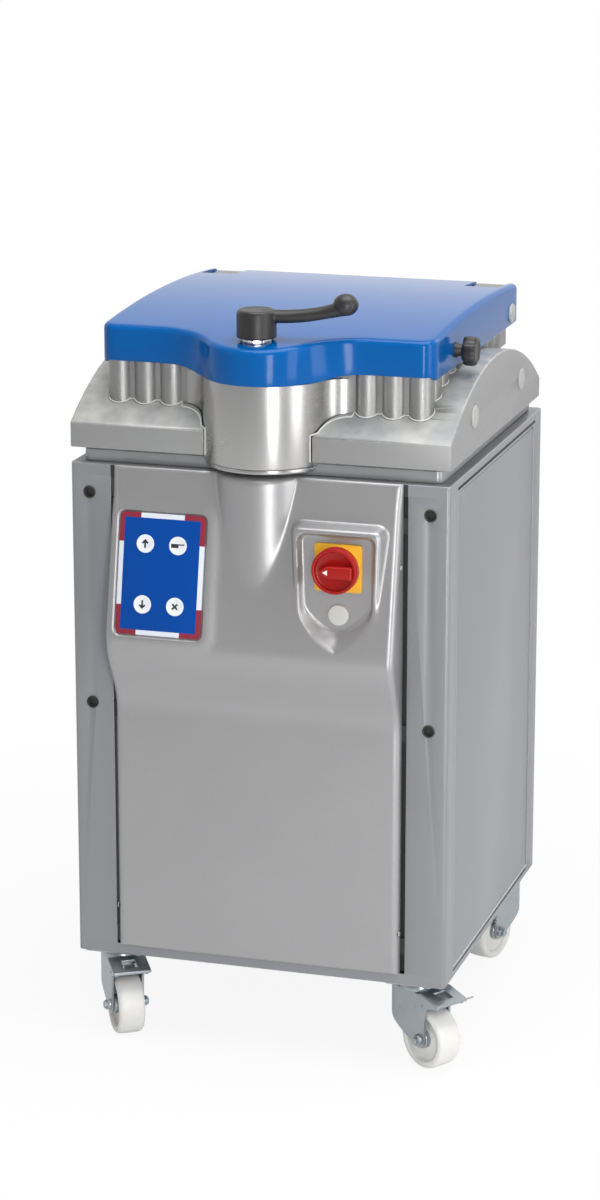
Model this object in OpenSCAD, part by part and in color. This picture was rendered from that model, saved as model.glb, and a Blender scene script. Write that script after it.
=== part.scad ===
// Hydraulic dough divider: a wheeled cabinet, a ribbed dough vat with rising plungers and knives,
// and a hinged lid that locks with a lever. All lengths are millimetres.
// The origin is on the floor below the middle of the casing: +X right, +Y rear, +Z up.

/* [Casing] */
// Width of the casing across its corner posts
casing_w = 620; // [612:1:680]
// Depth of the casing from its front face to its rear face
casing_d = 622; // [614:1:660]
// Height of the casing from its underside to its deck
casing_h = 821; // [811:1:880]
// Outside radius of the casing's upright corners
casing_r = 6; // [4:1:10]
// Width of a corner post, seen from the front
post_w = 67; // [58:1:70]
// Depth of a corner post, seen from the side
post_d = 55; // [45:1:65]
// Sheet thickness of posts, pan and rims
sheet_t = 3; // [2:0.5:4]
// Height of the bottom rail at the front and the rear
rail_h = 18; // [14:1:24]
// Height of the bottom rail at the sides
side_rail_h = 10; // [6:1:14]
// Thickness of the deck plate
deck_t = 12; // [8:1:15]
// Height of the rim round the deck
deck_rim_h = 19; // [17:1:26]
// Height of the shadow gap over the side panels
side_gap = 5; // [2:1:8]
// Height of the upper plugs in the front posts below the casing's top
plug_drop = 47; // [40:1:80]
// Distance from the upper plugs down to the lower ones
plug_step = 347; // [250:1:420]
// Diameter of the plugs in the front posts
plug_d = 20; // [14:1:26]

/* [Front panel] */
// Width of the moulded front panel
panel_w = 472; // [440:1:476]
// Wall thickness of the front panel
panel_t = 4; // [3:0.5:6]
// How far the panel's top edge stands out of the casing
panel_top_out = 6; // [5:1:15]
// How far the panel's belly stands out of the casing
belly_out = 59; // [50:1:70]
// How far the panel's lower part stands out of the casing
panel_low_out = 15; // [10:1:25]
// Height of the belly below the casing's top
belly_drop = 274; // [265:1:290]
// Height of the curve from the belly back to the lower part
belly_curve_h = 120; // [80:1:160]
// Radius of the round tongue below the lock boss
tongue_r = 81; // [76:1:86]

/* [Keypad] */
// Width of the keypad
keypad_w = 141; // [125:1:145]
// Length of the keypad along the leaning face
keypad_l = 193; // [170:1:196]
// Thickness of the keypad
keypad_t = 3; // [2.5:0.5:5]
// Sideways place of the keypad's middle
keypad_x = -148; // [-152:1:-142]
// Height of the keypad's middle below the casing's top
keypad_drop = 164; // [160:1:168]
// Diameter of the keys
key_d = 29; // [22:1:34]
// Distance between keys, sideways
key_step_x = 54; // [45:1:60]
// Distance between keys, along the leaning face
key_step_z = 96; // [70:1:105]
// Travel of a key
key_travel = 0.6; // [0.4:0.1:1]

/* [Main switch] */
// Sideways place of the switch console
console_x = 142; // [138:1:146]
// Width of the switch console
console_w = 152; // [140:1:156]
// Height of the console's top edge below the casing's top
console_drop = 63; // [60:1:75]
// Height of the console from its top edge to its tip
console_h = 202; // [195:1:205]
// How far the console's face stands out of the casing
console_out = 45; // [42:1:48]
// Depth of the pocket in the console
pocket_depth = 11; // [8:1:13]
// Width of the console's edge round the pocket
pocket_edge = 16; // [12:1:20]
// Width and height of the yellow switch plate
switch_plate_w = 76; // [66:1:84]
// Diameter of the red switch knob
switch_knob_d = 73; // [60:1:76]
// Height of the switch axis below the console's top edge
switch_drop = 68; // [60:1:74]
// Height of the white plug below the console's top edge
console_plug_drop = 144; // [136:1:150]

/* [Dough chamber] */
// Width of one dough cell; as many as the casing has room for stand side by side
cell_w = 96; // [80:1:120]
// Length of one dough cell; as many as the casing has room for stand one behind the other
cell_l = 101.5; // [80:0.5:135]
// Least room between the chamber and the casing's sides
chamber_side = 70; // [70:1:80]
// Distance of the chamber from the casing's front face
chamber_in = 75; // [72:1:80]
// Least room between the chamber and the casing's rear face
chamber_back = 141; // [141:1:160]
// Depth of the chamber below the vat's rim
chamber_depth = 117; // [100:1:120]
// Upward travel of the press
press_stroke = 96; // [70:1:96]
// Thickness of the knife blades
blade_t = 3; // [2:0.5:4]
// Height of the knife blades
blade_h = 180; // [170:1:200]

/* [Head] */
// Height of the neck ring between deck and vat
neck_h = 21; // [18:1:26]
// How far the neck ring stands back from the casing's faces
neck_in = 16; // [12:1:20]
// Height of the vat above the neck ring
vat_h = 137; // [130:1:150]
// Thickness of the vat's side walls at the ribs
vat_side_t = 26; // [24:1:28]
// Thickness of the vat's front wall at the ribs
vat_front_t = 30; // [26:1:32]
// Thickness of the vat's rear wall
vat_rear_t = 36; // [30:1:40]
// Radius of the vat's ribs
rib_r = 20; // [16:0.5:21]
// Distance between the vat's ribs
rib_pitch = 43; // [42:1:50]
// How far the ribs stand out of the vat's wall
rib_out = 10; // [6:1:12]
// Radius of the lock boss on the vat's front
boss_r = 102; // [98:1:106]
// Radius of the hollows where the boss runs into the wall
boss_fillet = 45; // [35:1:50]
// Wall thickness of the cowl
cowl_t = 4; // [3:0.5:6]
// Height of the cowl's bottom edge above the deck
cowl_lift = 24; // [23:1:30]
// Radius of the cowl's arched top
cowl_r = 542; // [520:1:600]
// Height of the arch's crown above the deck
cowl_crown = 152; // [147:1:156]
// How far the cowl's rear edge stands in front of the casing's rear
cowl_rear_in = 20; // [12:1:28]
// Diameter of the white caps on the cowl
cowl_cap_d = 36; // [28:1:44]

/* [Lid] */
// How far the lid's edge stands over the vat's ribs
lid_over = 6; // [4:1:8]
// Height of the lid at its crown
lid_h = 70; // [66:1:78]
// Radius of the lid's top, which is bowed from front to rear
lid_dome_r = 3000; // [2600:100:3600]
// Radius of the lid's front corners
lid_corner_r = 24; // [14:1:34]
// Radius of the lid's round nose
nose_r = 95; // [92:1:100]
// Radius of the hollows beside the nose
nose_fillet = 120; // [100:1:130]
// How far the nose hangs below the lid's edge
nose_drop = 10; // [6:1:12]
// How far the lid's sides hang below its front edge
lid_hang = 6; // [3:1:8]
// Thickness of the plate under the lid
lid_plate_t = 40; // [32:1:42]
// How far that plate dips into the vat
plate_dip = 9.5; // [6:0.5:12]
// Diameter of the hinge shaft
hinge_d = 20; // [16:1:24]
// Distance of the hinge axis behind the vat's rear wall
hinge_back = 30; // [28:1:34]
// Distance of the lid's rear edge behind the hinge axis
lid_tail = 46; // [36:1:50]
// Height of the hinge axis above the vat's rim
hinge_rise = 15.5; // [14:0.5:18]
// Radius of the hinge lugs
lug_r = 40; // [34:1:41]
// Width of a hinge lug
lug_w = 54; // [40:1:60]
// Distance of the hinge lugs' middles from the lid's sides
lug_in = 42; // [40:1:57]

/* [Lock] */
// Distance of the lock axis in front of the lid's front edge
lock_out = 41; // [38:1:44]
// Diameter of the lock spindle
spindle_d = 20; // [16:1:22]
// Diameter of the lever's hub
hub_d = 62; // [56:1:66]
// Height of the lever's hub
hub_h = 44; // [38:1:50]
// Height of the chrome collar below the hub
collar_h = 8; // [5:1:12]
// Length of the lever, from its axis to its ball end
lever_l = 138; // [110:1:160]
// Rise of the lever's ball end
lever_rise = 27; // [15:1:35]
// Direction of the lever, from the right towards the rear
lever_turn = 6.7; // [-10:0.1:15]
// Diameter of the lever's ball end
lever_ball_d = 30; // [26:1:36]
// Diameter of the clamp knob on the lid's side
knob_d = 48; // [40:1:52]
// Place of the clamp knob in front of the casing's middle
knob_y = -140; // [-170:1:-110]

/* [Castors] */
// Height of the castors
castor_h = 148; // [146:1:160]
// Diameter of the castor wheels
wheel_d = 100; // [90:1:102]
// Width of the castor wheels
wheel_w = 38; // [30:1:42]
// Distance from a castor's swivel axis back to its axle
castor_trail = 28; // [24:1:30]
// Distance of the swivel axes from the casing's faces
castor_in = 54; // [52:1:70]
// Diameter of the castor axles
axle_d = 12; // [10:1:16]
// Resting direction of the front left castor, from the front towards the right
heading_fl = 33; // [-180:1:180]
// Resting direction of the front right castor
heading_fr = 55; // [-180:1:180]
// Resting direction of the rear left castor
heading_rl = -24; // [-180:1:180]
// Resting direction of the rear right castor
heading_rr = -17; // [-180:1:180]

/* [Fits] */
// Radial clearance of shafts that turn or slide
fit = 0.05; // [0.02:0.01:0.1]
// Clearance between pieces that pass each other
gap = 0.3; // [0.2:0.1:0.6]

/* [Hidden] */
$fn = 96;
far = 2000;

// Levels, from the floor up
z_base = castor_h;
z_deck = z_base + casing_h;
z_seat = z_deck + neck_h;
z_rim = z_seat + vat_h;
z_lid = z_rim + 2 * gap;
z_crown = z_lid + lid_h;
z_hinge = z_rim + hinge_rise;
z_plate = z_rim - plate_dip;
z_nose = z_lid - nose_drop;
z_boss_top = z_nose - 2 * gap;
boss_hang = 5;
z_boss = z_seat - boss_hang;

// Press and knives, from the chamber down
head_t = 40;
blade_lag = 2;
carrier_t = 28;
platform_t = 20;
platform_clear = 4;
z_heads = z_rim - chamber_depth;
z_blades = z_heads - blade_lag;
z_carrier = z_blades - blade_h;
knife_stroke = z_plate - z_blades - 1;
z_skirt = z_carrier + knife_stroke + 3;
z_platform = z_carrier - carrier_t - press_stroke - platform_clear;
barrel_gap = 25;
barrel_end = 15;
gland_t = 25;
piston_t = 34;
barrel_l = 2 * press_stroke + barrel_end + gland_t + piston_t + 29;
z_barrel_top = z_platform - platform_t - barrel_gap;
z_cross = z_barrel_top - barrel_l;
cross_t = 20;

// Plan of the chamber, vat and lid
cells_x = floor((casing_w - 2 * chamber_side) / cell_w);
cells_y = floor((casing_d - chamber_in - chamber_back) / cell_l);
chamber_w = cells_x * cell_w;
chamber_l = cells_y * cell_l;
chamber_front = chamber_in - casing_d / 2;
chamber_rear = chamber_front + chamber_l;
chamber_y = chamber_front + chamber_l / 2;
vat_half = chamber_w / 2 + vat_side_t;
vat_front = chamber_front - vat_front_t;
vat_rear = chamber_rear + vat_rear_t;
wall_half = vat_half - rib_out;
wall_front = vat_front + rib_out;
lid_half = vat_half + lid_over;
lug_x = lid_half - lug_in;
lid_front = vat_front - lid_over;
hinge_y = vat_rear + hinge_back;
lid_rear = hinge_y + lid_tail;
nose_y = lid_front + 2;
boss_y = vat_front + 11;
lock_y = lid_front - lock_out;
skirt_t = 12;
skirt_play = 0.5;
notch_front = hinge_y - lug_r - 2;
hinge_r = hinge_d / 2;
spindle_r = spindle_d / 2;
lid_wall = 12;
lid_cap_r = 16;
lid_cap_t = 4;
plate_play = 4;
hollow_bite = 0.05;
z_pocket = z_plate + lid_plate_t;
dome_y = 10;
dome_steps = 720;
lug_short = 4;
hang_clear = 2 * gap;
z_hang = max(z_lid - lid_hang, z_deck + cowl_crown + hang_clear);
hollow_in = 30;
z_hollow = dome_z(chamber_front + hollow_in) - lid_wall;

// Cowl
cowl_axis_y = -15;
cowl_axis_z = z_deck + cowl_crown - cowl_r;
z_cowl = z_deck + cowl_lift;
cowl_cap_in = 72;
cowl_cap_back = 19;
cowl_cap_ys = [chamber_front + cowl_cap_in, chamber_rear - cowl_cap_back];
cowl_cap_up = 81;
cowl_cap_z = z_deck + cowl_cap_up;
cowl_bolt_r = 5;

// Casing faces
half_w = casing_w / 2;
plug_off = 6;
plug_x = (half_w + panel_w / 2) / 2 + plug_off;
plug_zs = [z_deck - plug_drop - plug_step, z_deck - plug_drop];
plug_head_t = 2;
plug_shank = 6;
bond = 0.5;
half_d = casing_d / 2;
front = -half_d;
open_half = half_w - post_w;
open_half_d = half_d - post_d;
z_rail = z_base + rail_h;
z_side_rail = z_base + side_rail_h;
z_rim_low = z_deck - deck_rim_h;
rear_in = half_d - sheet_t;
panel_face_t = sheet_t - 1;
rear_face = rear_in + panel_face_t;
panel_back_t = 2;
panel_lap = 8;
panel_edge = 1.5;
gland_in = 63;
gland_x = open_half - gland_in;
gland_up = 110;
gland_r = 10;
cable_r = 6;

// Front panel
panel_half = panel_w / 2;
keypad_r = 8;
z_panel = z_rail + 2;
z_panel_top = z_deck + 1;
z_belly = z_deck - belly_drop;
lean = atan((belly_out - panel_top_out) / (z_panel_top - z_belly));
tongue_h = 198;
rail_t = 6;
rail_bar_h = 26;
rail_zs = [z_rail + 34, z_belly - belly_curve_h - 20, z_rim_low - 60];

// Console and switch
console_y = front - console_out;
pocket_y = console_y + pocket_depth;
z_console = z_deck - console_drop;
z_switch = z_console - switch_drop;
z_console_plug = z_console - console_plug_drop;
switch_plate_t = 5;
collar_ring_t = 6;
switch_knob_t = 18;
switch_grip_t = 8;
switch_shaft_r = 6;
switch_body_w = 48;
switch_body_l = 55;
wall_clear = 1;
console_back = face_y(z_switch + switch_body_w / 2) + panel_t + wall_clear - pocket_y;
console_r = 16;
pocket_r = 12;
pocket_tip = 3.2;
console_plug_d = 33;
console_plug_t = 3.5;
console_plug_spigot = 11;

// Press frame
tie_r = 14;
tie_x = chamber_w / 2 + skirt_t + skirt_play + tie_r + 8.5;
tie_in = 53;
tie_y = chamber_l / 2 - tie_in;
knife_ram_x = chamber_w / 2 + 3;
ram_r = 30;
barrel_r = 55;
piston_r = 40;
knife_ram_r = 12.5;
knife_barrel_r = 25;
knife_piston_r = 17;
lug_margin = 22;

// Lock
bar_l = 52;
bar_w = 16;
bar_t = 12.5;
keeper_t = 10;
keeper_r = 35;
boss_hole_r = 30;
bar_under = 1;
collar_r = 24;
z_collar = dome_z(lock_y - collar_r) - 0.2;
z_hub = max(z_collar + collar_h, dome_z(lock_y + hub_d / 2)) + gap;
z_hub_top = z_hub + hub_h;
lever_r = 9;
lever_drop = 12;
hub_edge = 5.5;
hub_bore = 22;
stud_r = 5;
knob_neck = 18;
knob_t = 18;
knob_drop = 8;
knob_z = z_pocket - knob_drop;
stud_in = 14;

// Power pack
z_floor = z_base + sheet_t;
tank_h = 120;
tank_t = 4;
tank_x0 = -230;
tank_x1 = -10;
tank_y0 = -60;
tank_y1 = 240;
motor_x = 130;
motor_r = 62;
motor_l = 230;
motor_foot = 8;
control_w = 300;
control_d = 70;
control_h = 216;

// Castors
wheel_r = wheel_d / 2;
castor_plate_t = 6;
castor_plate_w = 100;
castor_plate_l = 86;
castor_plate_r = 8;
race_h = 13.7;
race_r = 27;
crown_t = 12;
z_crown_top = z_base - castor_plate_t - race_h - gap;
z_fork = z_crown_top - crown_t;
leg_clear = 2;
leg_in = wheel_w / 2 + leg_clear;
leg_t = 4;
leg_out = leg_in + leg_t;
back_clear = 8;
fork_rear = wheel_r - castor_trail + back_clear;
fork_front = -50;
king_r = 8;
king_head_r = 13;
king_head_t = 8;
axle_head_r = 9;
axle_head_t = 6;
eye_r = 14;
brace_drop = 20;
brace_lap = 8;
lip_h = 2;
wheel_hub_r = 17;
wheel_hub_out = 1.5;
wheel_rim = 12;
wheel_dish = 5;
wheel_edge = 3;
pedal_pin_r = 3;
pedal_out = 8;
pedal_drop = 7;
pedal_y = -castor_trail - pedal_out;
pedal_z = z_fork - pedal_drop;
pedal_t = 3;
pedal_hub_r = 6;
pedal_arm_l = 24;
tread_half = 25;
tread_l = 34;
tread_lap = 4;
pedal_dip = 16;
tread_hole = 14;
tread_edge = 7;
arm_clear = 1;

// Width of a chosen round of ribs that fits evenly between two corner ribs
rib_span = vat_rear - vat_front - 2 * rib_r;
side_ribs = round(rib_span / rib_pitch);
boss_flare = flare_x(boss_r, boss_fillet, wall_front, boss_y);
front_ribs = floor((vat_half - rib_r - boss_flare) / rib_pitch);

// Height of the lid's bowed top at a depth
function dome_z(y) = z_crown - lid_dome_r + sqrt(pow(lid_dome_r, 2) - pow(y - dome_y, 2));

// Depth of the panel's leaning face at a height
function face_y(z) = front - panel_top_out - (z_panel_top - z) * tan(lean);

// Where the hollow beside a round nose meets the straight wall
function flare_x(r, fillet, wall_y, centre_y) =
    sqrt(pow(r + fillet, 2) - pow(centre_y - wall_y + fillet, 2));

// Points on an arc from one angle to another
function arc(x, y, r, from, to, steps) =
    [for (i = [0:steps]) let (a = from + (to - from) * i / steps) [x + r * cos(a), y + r * sin(a)]];

// Side outline of the front panel, moved in by t, as points of depth and height
function panel_outline(t) = concat(
    [
        [front + t, z_panel + t],
        [front + t, z_panel_top - t],
        [front - panel_top_out + t, z_panel_top - t]
    ],
    [for (i = [0:12]) [
        front - belly_out + t + (belly_out - panel_low_out) * (1 - cos(180 * i / 12)) / 2,
        z_belly - belly_curve_h * i / 12
    ]],
    [[front - panel_low_out + t, z_panel + t]]
);

// Outline of the console: straight sides, rounded top corners and a pointed lower end
function shield(w, h, r) =
    let (low = w / 2 - h, ogive = w * 0.55, drop = sqrt(pow(ogive, 2) - pow(ogive - w / 2, 2)))
    concat(
        arc(w / 2 - r, -r, r, 0, 90, 6),
        arc(r - w / 2, -r, r, 90, 180, 6),
        arc(ogive - w / 2, drop - h, ogive, 180, 180 + asin(drop / ogive), 10),
        arc(w / 2 - ogive, drop - h, ogive, -asin(drop / ogive), 0, 10)
    );

module box(x0, x1, y0, y1, z0, z1) {
    translate([x0, y0, z0]) cube([x1 - x0, y1 - y0, z1 - z0]);
}

module rod_x(r, x0, x1, y, z) {
    translate([x0, y, z]) rotate([0, 90, 0]) cylinder(r = r, h = x1 - x0);
}

module rod_y(r, y0, y1, x, z) {
    translate([x, y1, z]) rotate([90, 0, 0]) cylinder(r = r, h = y1 - y0);
}

module rod_z(r, z0, z1, x, y) {
    translate([x, y, z0]) cylinder(r = r, h = z1 - z0);
}

module slab(z0, z1) {
    translate([0, 0, z0]) linear_extrude(z1 - z0) children();
}

// Pushes an outline of depth and height through from x0 to x1
module across(x0, x1) {
    translate([x0, 0, 0]) rotate([90, 0, 90]) linear_extrude(x1 - x0) children();
}

// Pushes an outline of width and height through from y1 forward to y0
module forward(y0, y1) {
    translate([0, y1, 0]) rotate([90, 0, 0]) linear_extrude(y1 - y0) children();
}

module rounded(w, d, r) {
    square([w - 2 * r, d], center = true);
    square([w, d - 2 * r], center = true);
    for (x = [r - w / 2, w / 2 - r], y = [r - d / 2, d / 2 - r]) translate([x, y]) circle(r);
}

module casing_plan(inset) {
    rounded(casing_w - 2 * inset, casing_d - 2 * inset, casing_r - inset / 2);
}

module casing_wall() {
    difference() {
        casing_plan(0);
        casing_plan(sheet_t);
    }
}

// Plan of the chamber and what surrounds it, grown on all sides
module chamber_plan(grow) {
    translate([0, chamber_y]) square([chamber_w + 2 * grow, chamber_l + 2 * grow], center = true);
}

// A round nose that runs out into a straight wall through two hollows
module nose_plan(r, fillet, wall_y, centre_y) {
    side = flare_x(r, fillet, wall_y, centre_y);
    share = r / (r + fillet);
    meet = [side * share, centre_y + (wall_y - fillet - centre_y) * share];
    translate([0, centre_y]) circle(r);
    difference() {
        polygon([[-side, wall_y], [side, wall_y], meet, [-meet[0], meet[1]]]);
        for (s = [-side, side]) translate([s, wall_y - fillet]) circle(fillet + hollow_bite);
    }
}

module boss_plan(grow) {
    nose_plan(boss_r + grow, boss_fillet - grow, wall_front - grow, boss_y);
}

// Ribbed plan of the vat, grown on all sides
module vat_plan(grow) {
    translate([-wall_half - grow, wall_front - grow])
        square([2 * (wall_half + grow), vat_rear - wall_front + 2 * grow]);
    for (s = [-1, 1]) {
        for (i = [0:side_ribs])
            translate([s * (vat_half - rib_r), vat_front + rib_r + rib_span * i / side_ribs])
                circle(rib_r + grow);
        if (front_ribs > 0) for (i = [1:front_ribs])
            translate([s * (vat_half - rib_r - rib_pitch * i), vat_front + rib_r]) circle(rib_r + grow);
    }
}

module corner_posts(side) {
    for (x = [-1, 1]) slab(z_rail, z_rim_low) intersection() {
        casing_wall();
        translate([x * half_w, side * half_d]) square([2 * post_w, 2 * post_d], center = true);
    }
}

module base_pan() {
    color("dimgray") difference() {
        union() {
            slab(z_base, z_base + sheet_t) casing_plan(0);
            slab(z_base, z_rail) casing_wall();
        }
        box(-far, far, -open_half_d, open_half_d, z_side_rail, far);
    }
}

module top_deck() {
    color("dimgray") difference() {
        union() {
            slab(z_deck - deck_t, z_deck) casing_plan(0);
            slab(z_rim_low, z_deck) casing_wall();
        }
        slab(z_rim_low - 1, z_deck + 1) chamber_plan(skirt_t + skirt_play);
    }
}

module front_posts() {
    color("gray") difference() {
        corner_posts(-1);
        post_plug_places(plug_d / 4 + fit, -plug_shank - 1, 1);
    }
}

module rear_posts() {
    color("gray") corner_posts(1);
}

module post_plug_places(r, y0, y1) {
    for (x = [-1, 1], z = plug_zs) rod_y(r, front - y1, front - y0, x * plug_x, z);
}

module post_plugs() {
    color("black") {
        post_plug_places(plug_d / 2, 0, plug_head_t);
        post_plug_places(plug_d / 4, -plug_shank, bond);
    }
}

module front_rails() {
    color("dimgray") for (z = rail_zs) box(-open_half, open_half, front, front + rail_t, z, z + rail_bar_h);
}

// A panel that closes the side between the posts, its edges behind them
module side_panel(side) {
    inside = half_w - sheet_t;
    color("gray") mirror([side < 0 ? 1 : 0, 0, 0]) {
        box(
            inside - panel_back_t, inside, -open_half_d - panel_lap, open_half_d + panel_lap,
            z_floor + 1, z_deck - deck_t - 1
        );
        box(
            inside - 0.5, inside + panel_face_t, panel_edge - open_half_d, open_half_d - panel_edge,
            z_side_rail + panel_edge, z_rim_low - side_gap
        );
    }
}

module left_side_panel() {
    side_panel(-1);
}

module right_side_panel() {
    side_panel(1);
}

module rear_panel() {
    louvre_x = 90;
    louvre_w = 130;
    louvre_h = 6;
    louvre_step = 22;
    louvre_last = 7;
    z_louvre = z_rail + 250;
    color("gray") difference() {
        union() {
            box(
                -open_half - panel_lap, open_half + panel_lap, rear_in - panel_back_t, rear_in,
                z_floor + 1, z_deck - deck_t - 1
            );
            box(
                panel_edge - open_half, open_half - panel_edge, rear_in - 0.5, rear_face,
                z_rail + panel_edge, z_rim_low - panel_edge
            );
        }
        for (x = [-louvre_x, louvre_x], i = [0:louvre_last])
            box(
                x - louvre_w / 2, x + louvre_w / 2, rear_in - 2 * panel_back_t, rear_face + 1,
                z_louvre + louvre_step * i, z_louvre + louvre_step * i + louvre_h
            );
        rod_y(gland_r + fit, rear_in - 2 * panel_back_t, rear_face + 1, gland_x, z_base + gland_up);
    }
}

module cable_gland() {
    nut_r = 16;
    nut_t = 8;
    dome_r = 12;
    dome_l = 14;
    lock_nut_t = 6;
    gland_shank = 10;
    z = z_base + gland_up;
    color("black") difference() {
        union() {
            rod_y(gland_r, rear_in - gland_shank, rear_face + bond, gland_x, z);
            translate([gland_x, rear_face + nut_t, z]) rotate([90, 0, 0])
                cylinder(r = nut_r, h = nut_t, $fn = 6);
            translate([gland_x, rear_in - panel_back_t, z]) rotate([90, 0, 0])
                cylinder(r = nut_r, h = lock_nut_t, $fn = 6);
            rod_y(dome_r, rear_face + nut_t, rear_face + nut_t + dome_l, gland_x, z);
        }
        rod_y(cable_r, rear_in - gland_shank - 1, rear_face + nut_t + dome_l + 1, gland_x, z);
    }
}

// Places things on the panel's leaning face, with their outer side towards -Y
module on_face(x, z) {
    translate([x, face_y(z), z]) rotate([-lean, 0, 0]) children();
}

module panel_body(t) {
    across(t - panel_half, panel_half - t) polygon(panel_outline(t));
    intersection() {
        rod_z(tongue_r - t, z_panel_top - tongue_h, z_panel_top - t, 0, nose_y);
        box(-far, far, -far, front, 0, far);
    }
}

module console_body() {
    back = pocket_y + console_back;
    intersection() {
        forward(front - 2 * belly_out, back) translate([console_x, z_console])
            polygon(shield(console_w, console_h, console_r));
        union() {
            panel_body(0);
            box(-far, far, console_y, back, 0, far);
        }
    }
}

module console_pocket() {
    forward(front - 3 * belly_out, pocket_y) translate([console_x, z_console - pocket_edge])
        polygon(shield(console_w - 2 * pocket_edge, console_h - 2 * pocket_edge - pocket_tip, pocket_r));
}

module front_panel() {
    color("silver") difference() {
        union() {
            difference() {
                panel_body(0);
                translate([0, panel_t, 0]) panel_hollow();
            }
            console_body();
        }
        console_pocket();
        rod_y(switch_shaft_r + 2, pocket_y - 1, front, console_x, z_switch);
        rod_y(console_plug_spigot + fit, pocket_y - 1, front, console_x, z_console_plug);
    }
}

// The room behind the panel's wall, open to the rear
module panel_hollow() {
    across(panel_t - panel_half, panel_half - panel_t) polygon(concat(
        [[front + 1, z_panel + panel_t], [front + 1, z_panel_top - panel_t]],
        [for (p = panel_outline(0)) if (p[0] < front)
            [p[0], min(max(p[1], z_panel + panel_t), z_panel_top - panel_t)]]
    ));
    intersection() {
        rod_z(tongue_r - panel_t, z_panel_top - tongue_h, z_panel_top - panel_t, 0, nose_y);
        box(-far, far, -far, front, 0, far);
    }
}

module panel_plug() {
    color("whitesmoke") {
        rod_y(console_plug_d / 2, pocket_y - console_plug_t, pocket_y, console_x, z_console_plug);
        rod_y(console_plug_spigot, pocket_y - 0.5, pocket_y + console_back, console_x, z_console_plug);
    }
}

module key_place(column, row) {
    on_face(keypad_x, z_deck - keypad_drop)
        translate([column * key_step_x / 2, 0, row * key_step_z / 2]) rotate([90, 0, 0]) children();
}

module keypad() {
    color("royalblue") difference() {
        on_face(keypad_x, z_deck - keypad_drop) forward(-keypad_t, -fit) rounded(keypad_w, keypad_l, keypad_r);
        for (c = [-1, 1], r = [-1, 1]) key_place(c, r) translate([0, 0, -1])
            cylinder(r = key_d / 2 + gap, h = keypad_t + 2);
    }
}

module key(column, row) {
    proud = 1.2;
    inner = key_travel + gap;
    color("white") key_place(column, row) translate([0, 0, inner])
        cylinder(r = key_d / 2, h = keypad_t + proud - inner);
}

module switch_plate() {
    y_plate = pocket_y - switch_plate_t;
    corner_r = 5;
    color("gold") difference() {
        union() {
            forward(y_plate, pocket_y) translate([console_x, z_switch])
                rounded(switch_plate_w, switch_plate_w, corner_r);
            rod_y(switch_knob_d / 2 + 1, y_plate - collar_ring_t, y_plate + bond, console_x, z_switch);
        }
        rod_y(switch_shaft_r + fit, pocket_y - 20, pocket_y + 1, console_x, z_switch);
    }
}

module switch_body() {
    back = pocket_y + console_back;
    h = switch_body_w / 2;
    color("dimgray") difference() {
        box(console_x - h, console_x + h, back, back + switch_body_l, z_switch - h, z_switch + h);
        rod_y(switch_shaft_r + fit, back - 1, back + 30, console_x, z_switch);
    }
}

module switch_knob() {
    y_in = pocket_y - switch_plate_t - collar_ring_t - gap;
    y_face = y_in - switch_knob_t;
    grip_w = 20;
    grip_l = switch_knob_d - 6;
    color("red") {
        difference() {
            rod_y(switch_knob_d / 2, y_face, y_in, console_x, z_switch);
            rod_y(switch_knob_d / 2 - 6, y_face - 1, y_face + 6, console_x, z_switch);
        }
        box(
            console_x - grip_l / 2, console_x + grip_l / 2, y_face - switch_grip_t, y_face + 7,
            z_switch - grip_w / 2, z_switch + grip_w / 2
        );
        rod_y(switch_shaft_r, y_in - 1, pocket_y + console_back + 28, console_x, z_switch);
    }
}

module neck_ring() {
    color("gray") slab(z_deck, z_seat) difference() {
        rounded(casing_w - 2 * neck_in, casing_d - 2 * neck_in, 12);
        chamber_plan(skirt_t + skirt_play);
    }
}

// Front half of a round plate below the vat's boss, clear of the neck ring
module boss_front(r) {
    intersection() {
        translate([0, boss_y]) circle(r);
        translate([-far, front + neck_in - gap - far]) square([2 * far, far]);
    }
}

module hinge_lugs() {
    web_drop = 42;
    for (s = [-1, 1]) across(s * lug_x - lug_w / 2, s * lug_x + lug_w / 2) {
        translate([hinge_y, z_hinge]) circle(lug_r);
        translate([hinge_y, z_hinge]) square([lid_tail - lug_short, lug_r]);
        translate([hinge_y - lug_r, z_rim - web_drop]) square([lug_r + 26, web_drop + hinge_rise]);
    }
}

module vat() {
    color("silver") difference() {
        union() {
            slab(z_seat, z_rim) vat_plan(0);
            slab(z_seat, z_boss_top) boss_plan(0);
            slab(z_boss, z_seat + 1) boss_front(boss_r);
            slab(z_skirt, z_seat + 1) chamber_plan(skirt_t);
            hinge_lugs();
        }
        slab(z_skirt - 1, z_rim + 1) chamber_plan(0);
        rod_z(boss_hole_r, z_boss_top - 70, z_boss_top + 1, 0, lock_y);
        rod_z(keeper_r, z_boss_top - keeper_t, z_boss_top + 1, 0, lock_y);
        rod_x(hinge_r + fit, -far, far, hinge_y, z_hinge);
    }
}

module boss_plate() {
    plate_t = 7;
    color("gray") slab(z_boss - plate_t, z_boss) boss_front(boss_r - 3);
}

module lock_keeper() {
    color("dimgray") difference() {
        rod_z(keeper_r - fit, z_boss_top - keeper_t, z_boss_top, 0, lock_y);
        box(
            -bar_w / 2 - 3, bar_w / 2 + 3, lock_y - bar_l / 2 - 3, lock_y + bar_l / 2 + 3,
            z_boss_top - keeper_t - 1, z_boss_top + 1
        );
    }
}

module hinge_shaft() {
    color("lightgray") rod_x(hinge_r, gap - lid_half, lid_half - gap, hinge_y, z_hinge);
}

module cowl_body(t) {
    intersection() {
        box(
            t - half_w, half_w - t, front + t, half_d - cowl_rear_in - t,
            z_cowl - (t > 0 ? 1 : 0), z_deck + 2 * cowl_crown
        );
        rod_x(cowl_r - t, -half_w, half_w, cowl_axis_y, cowl_axis_z);
    }
}

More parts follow.
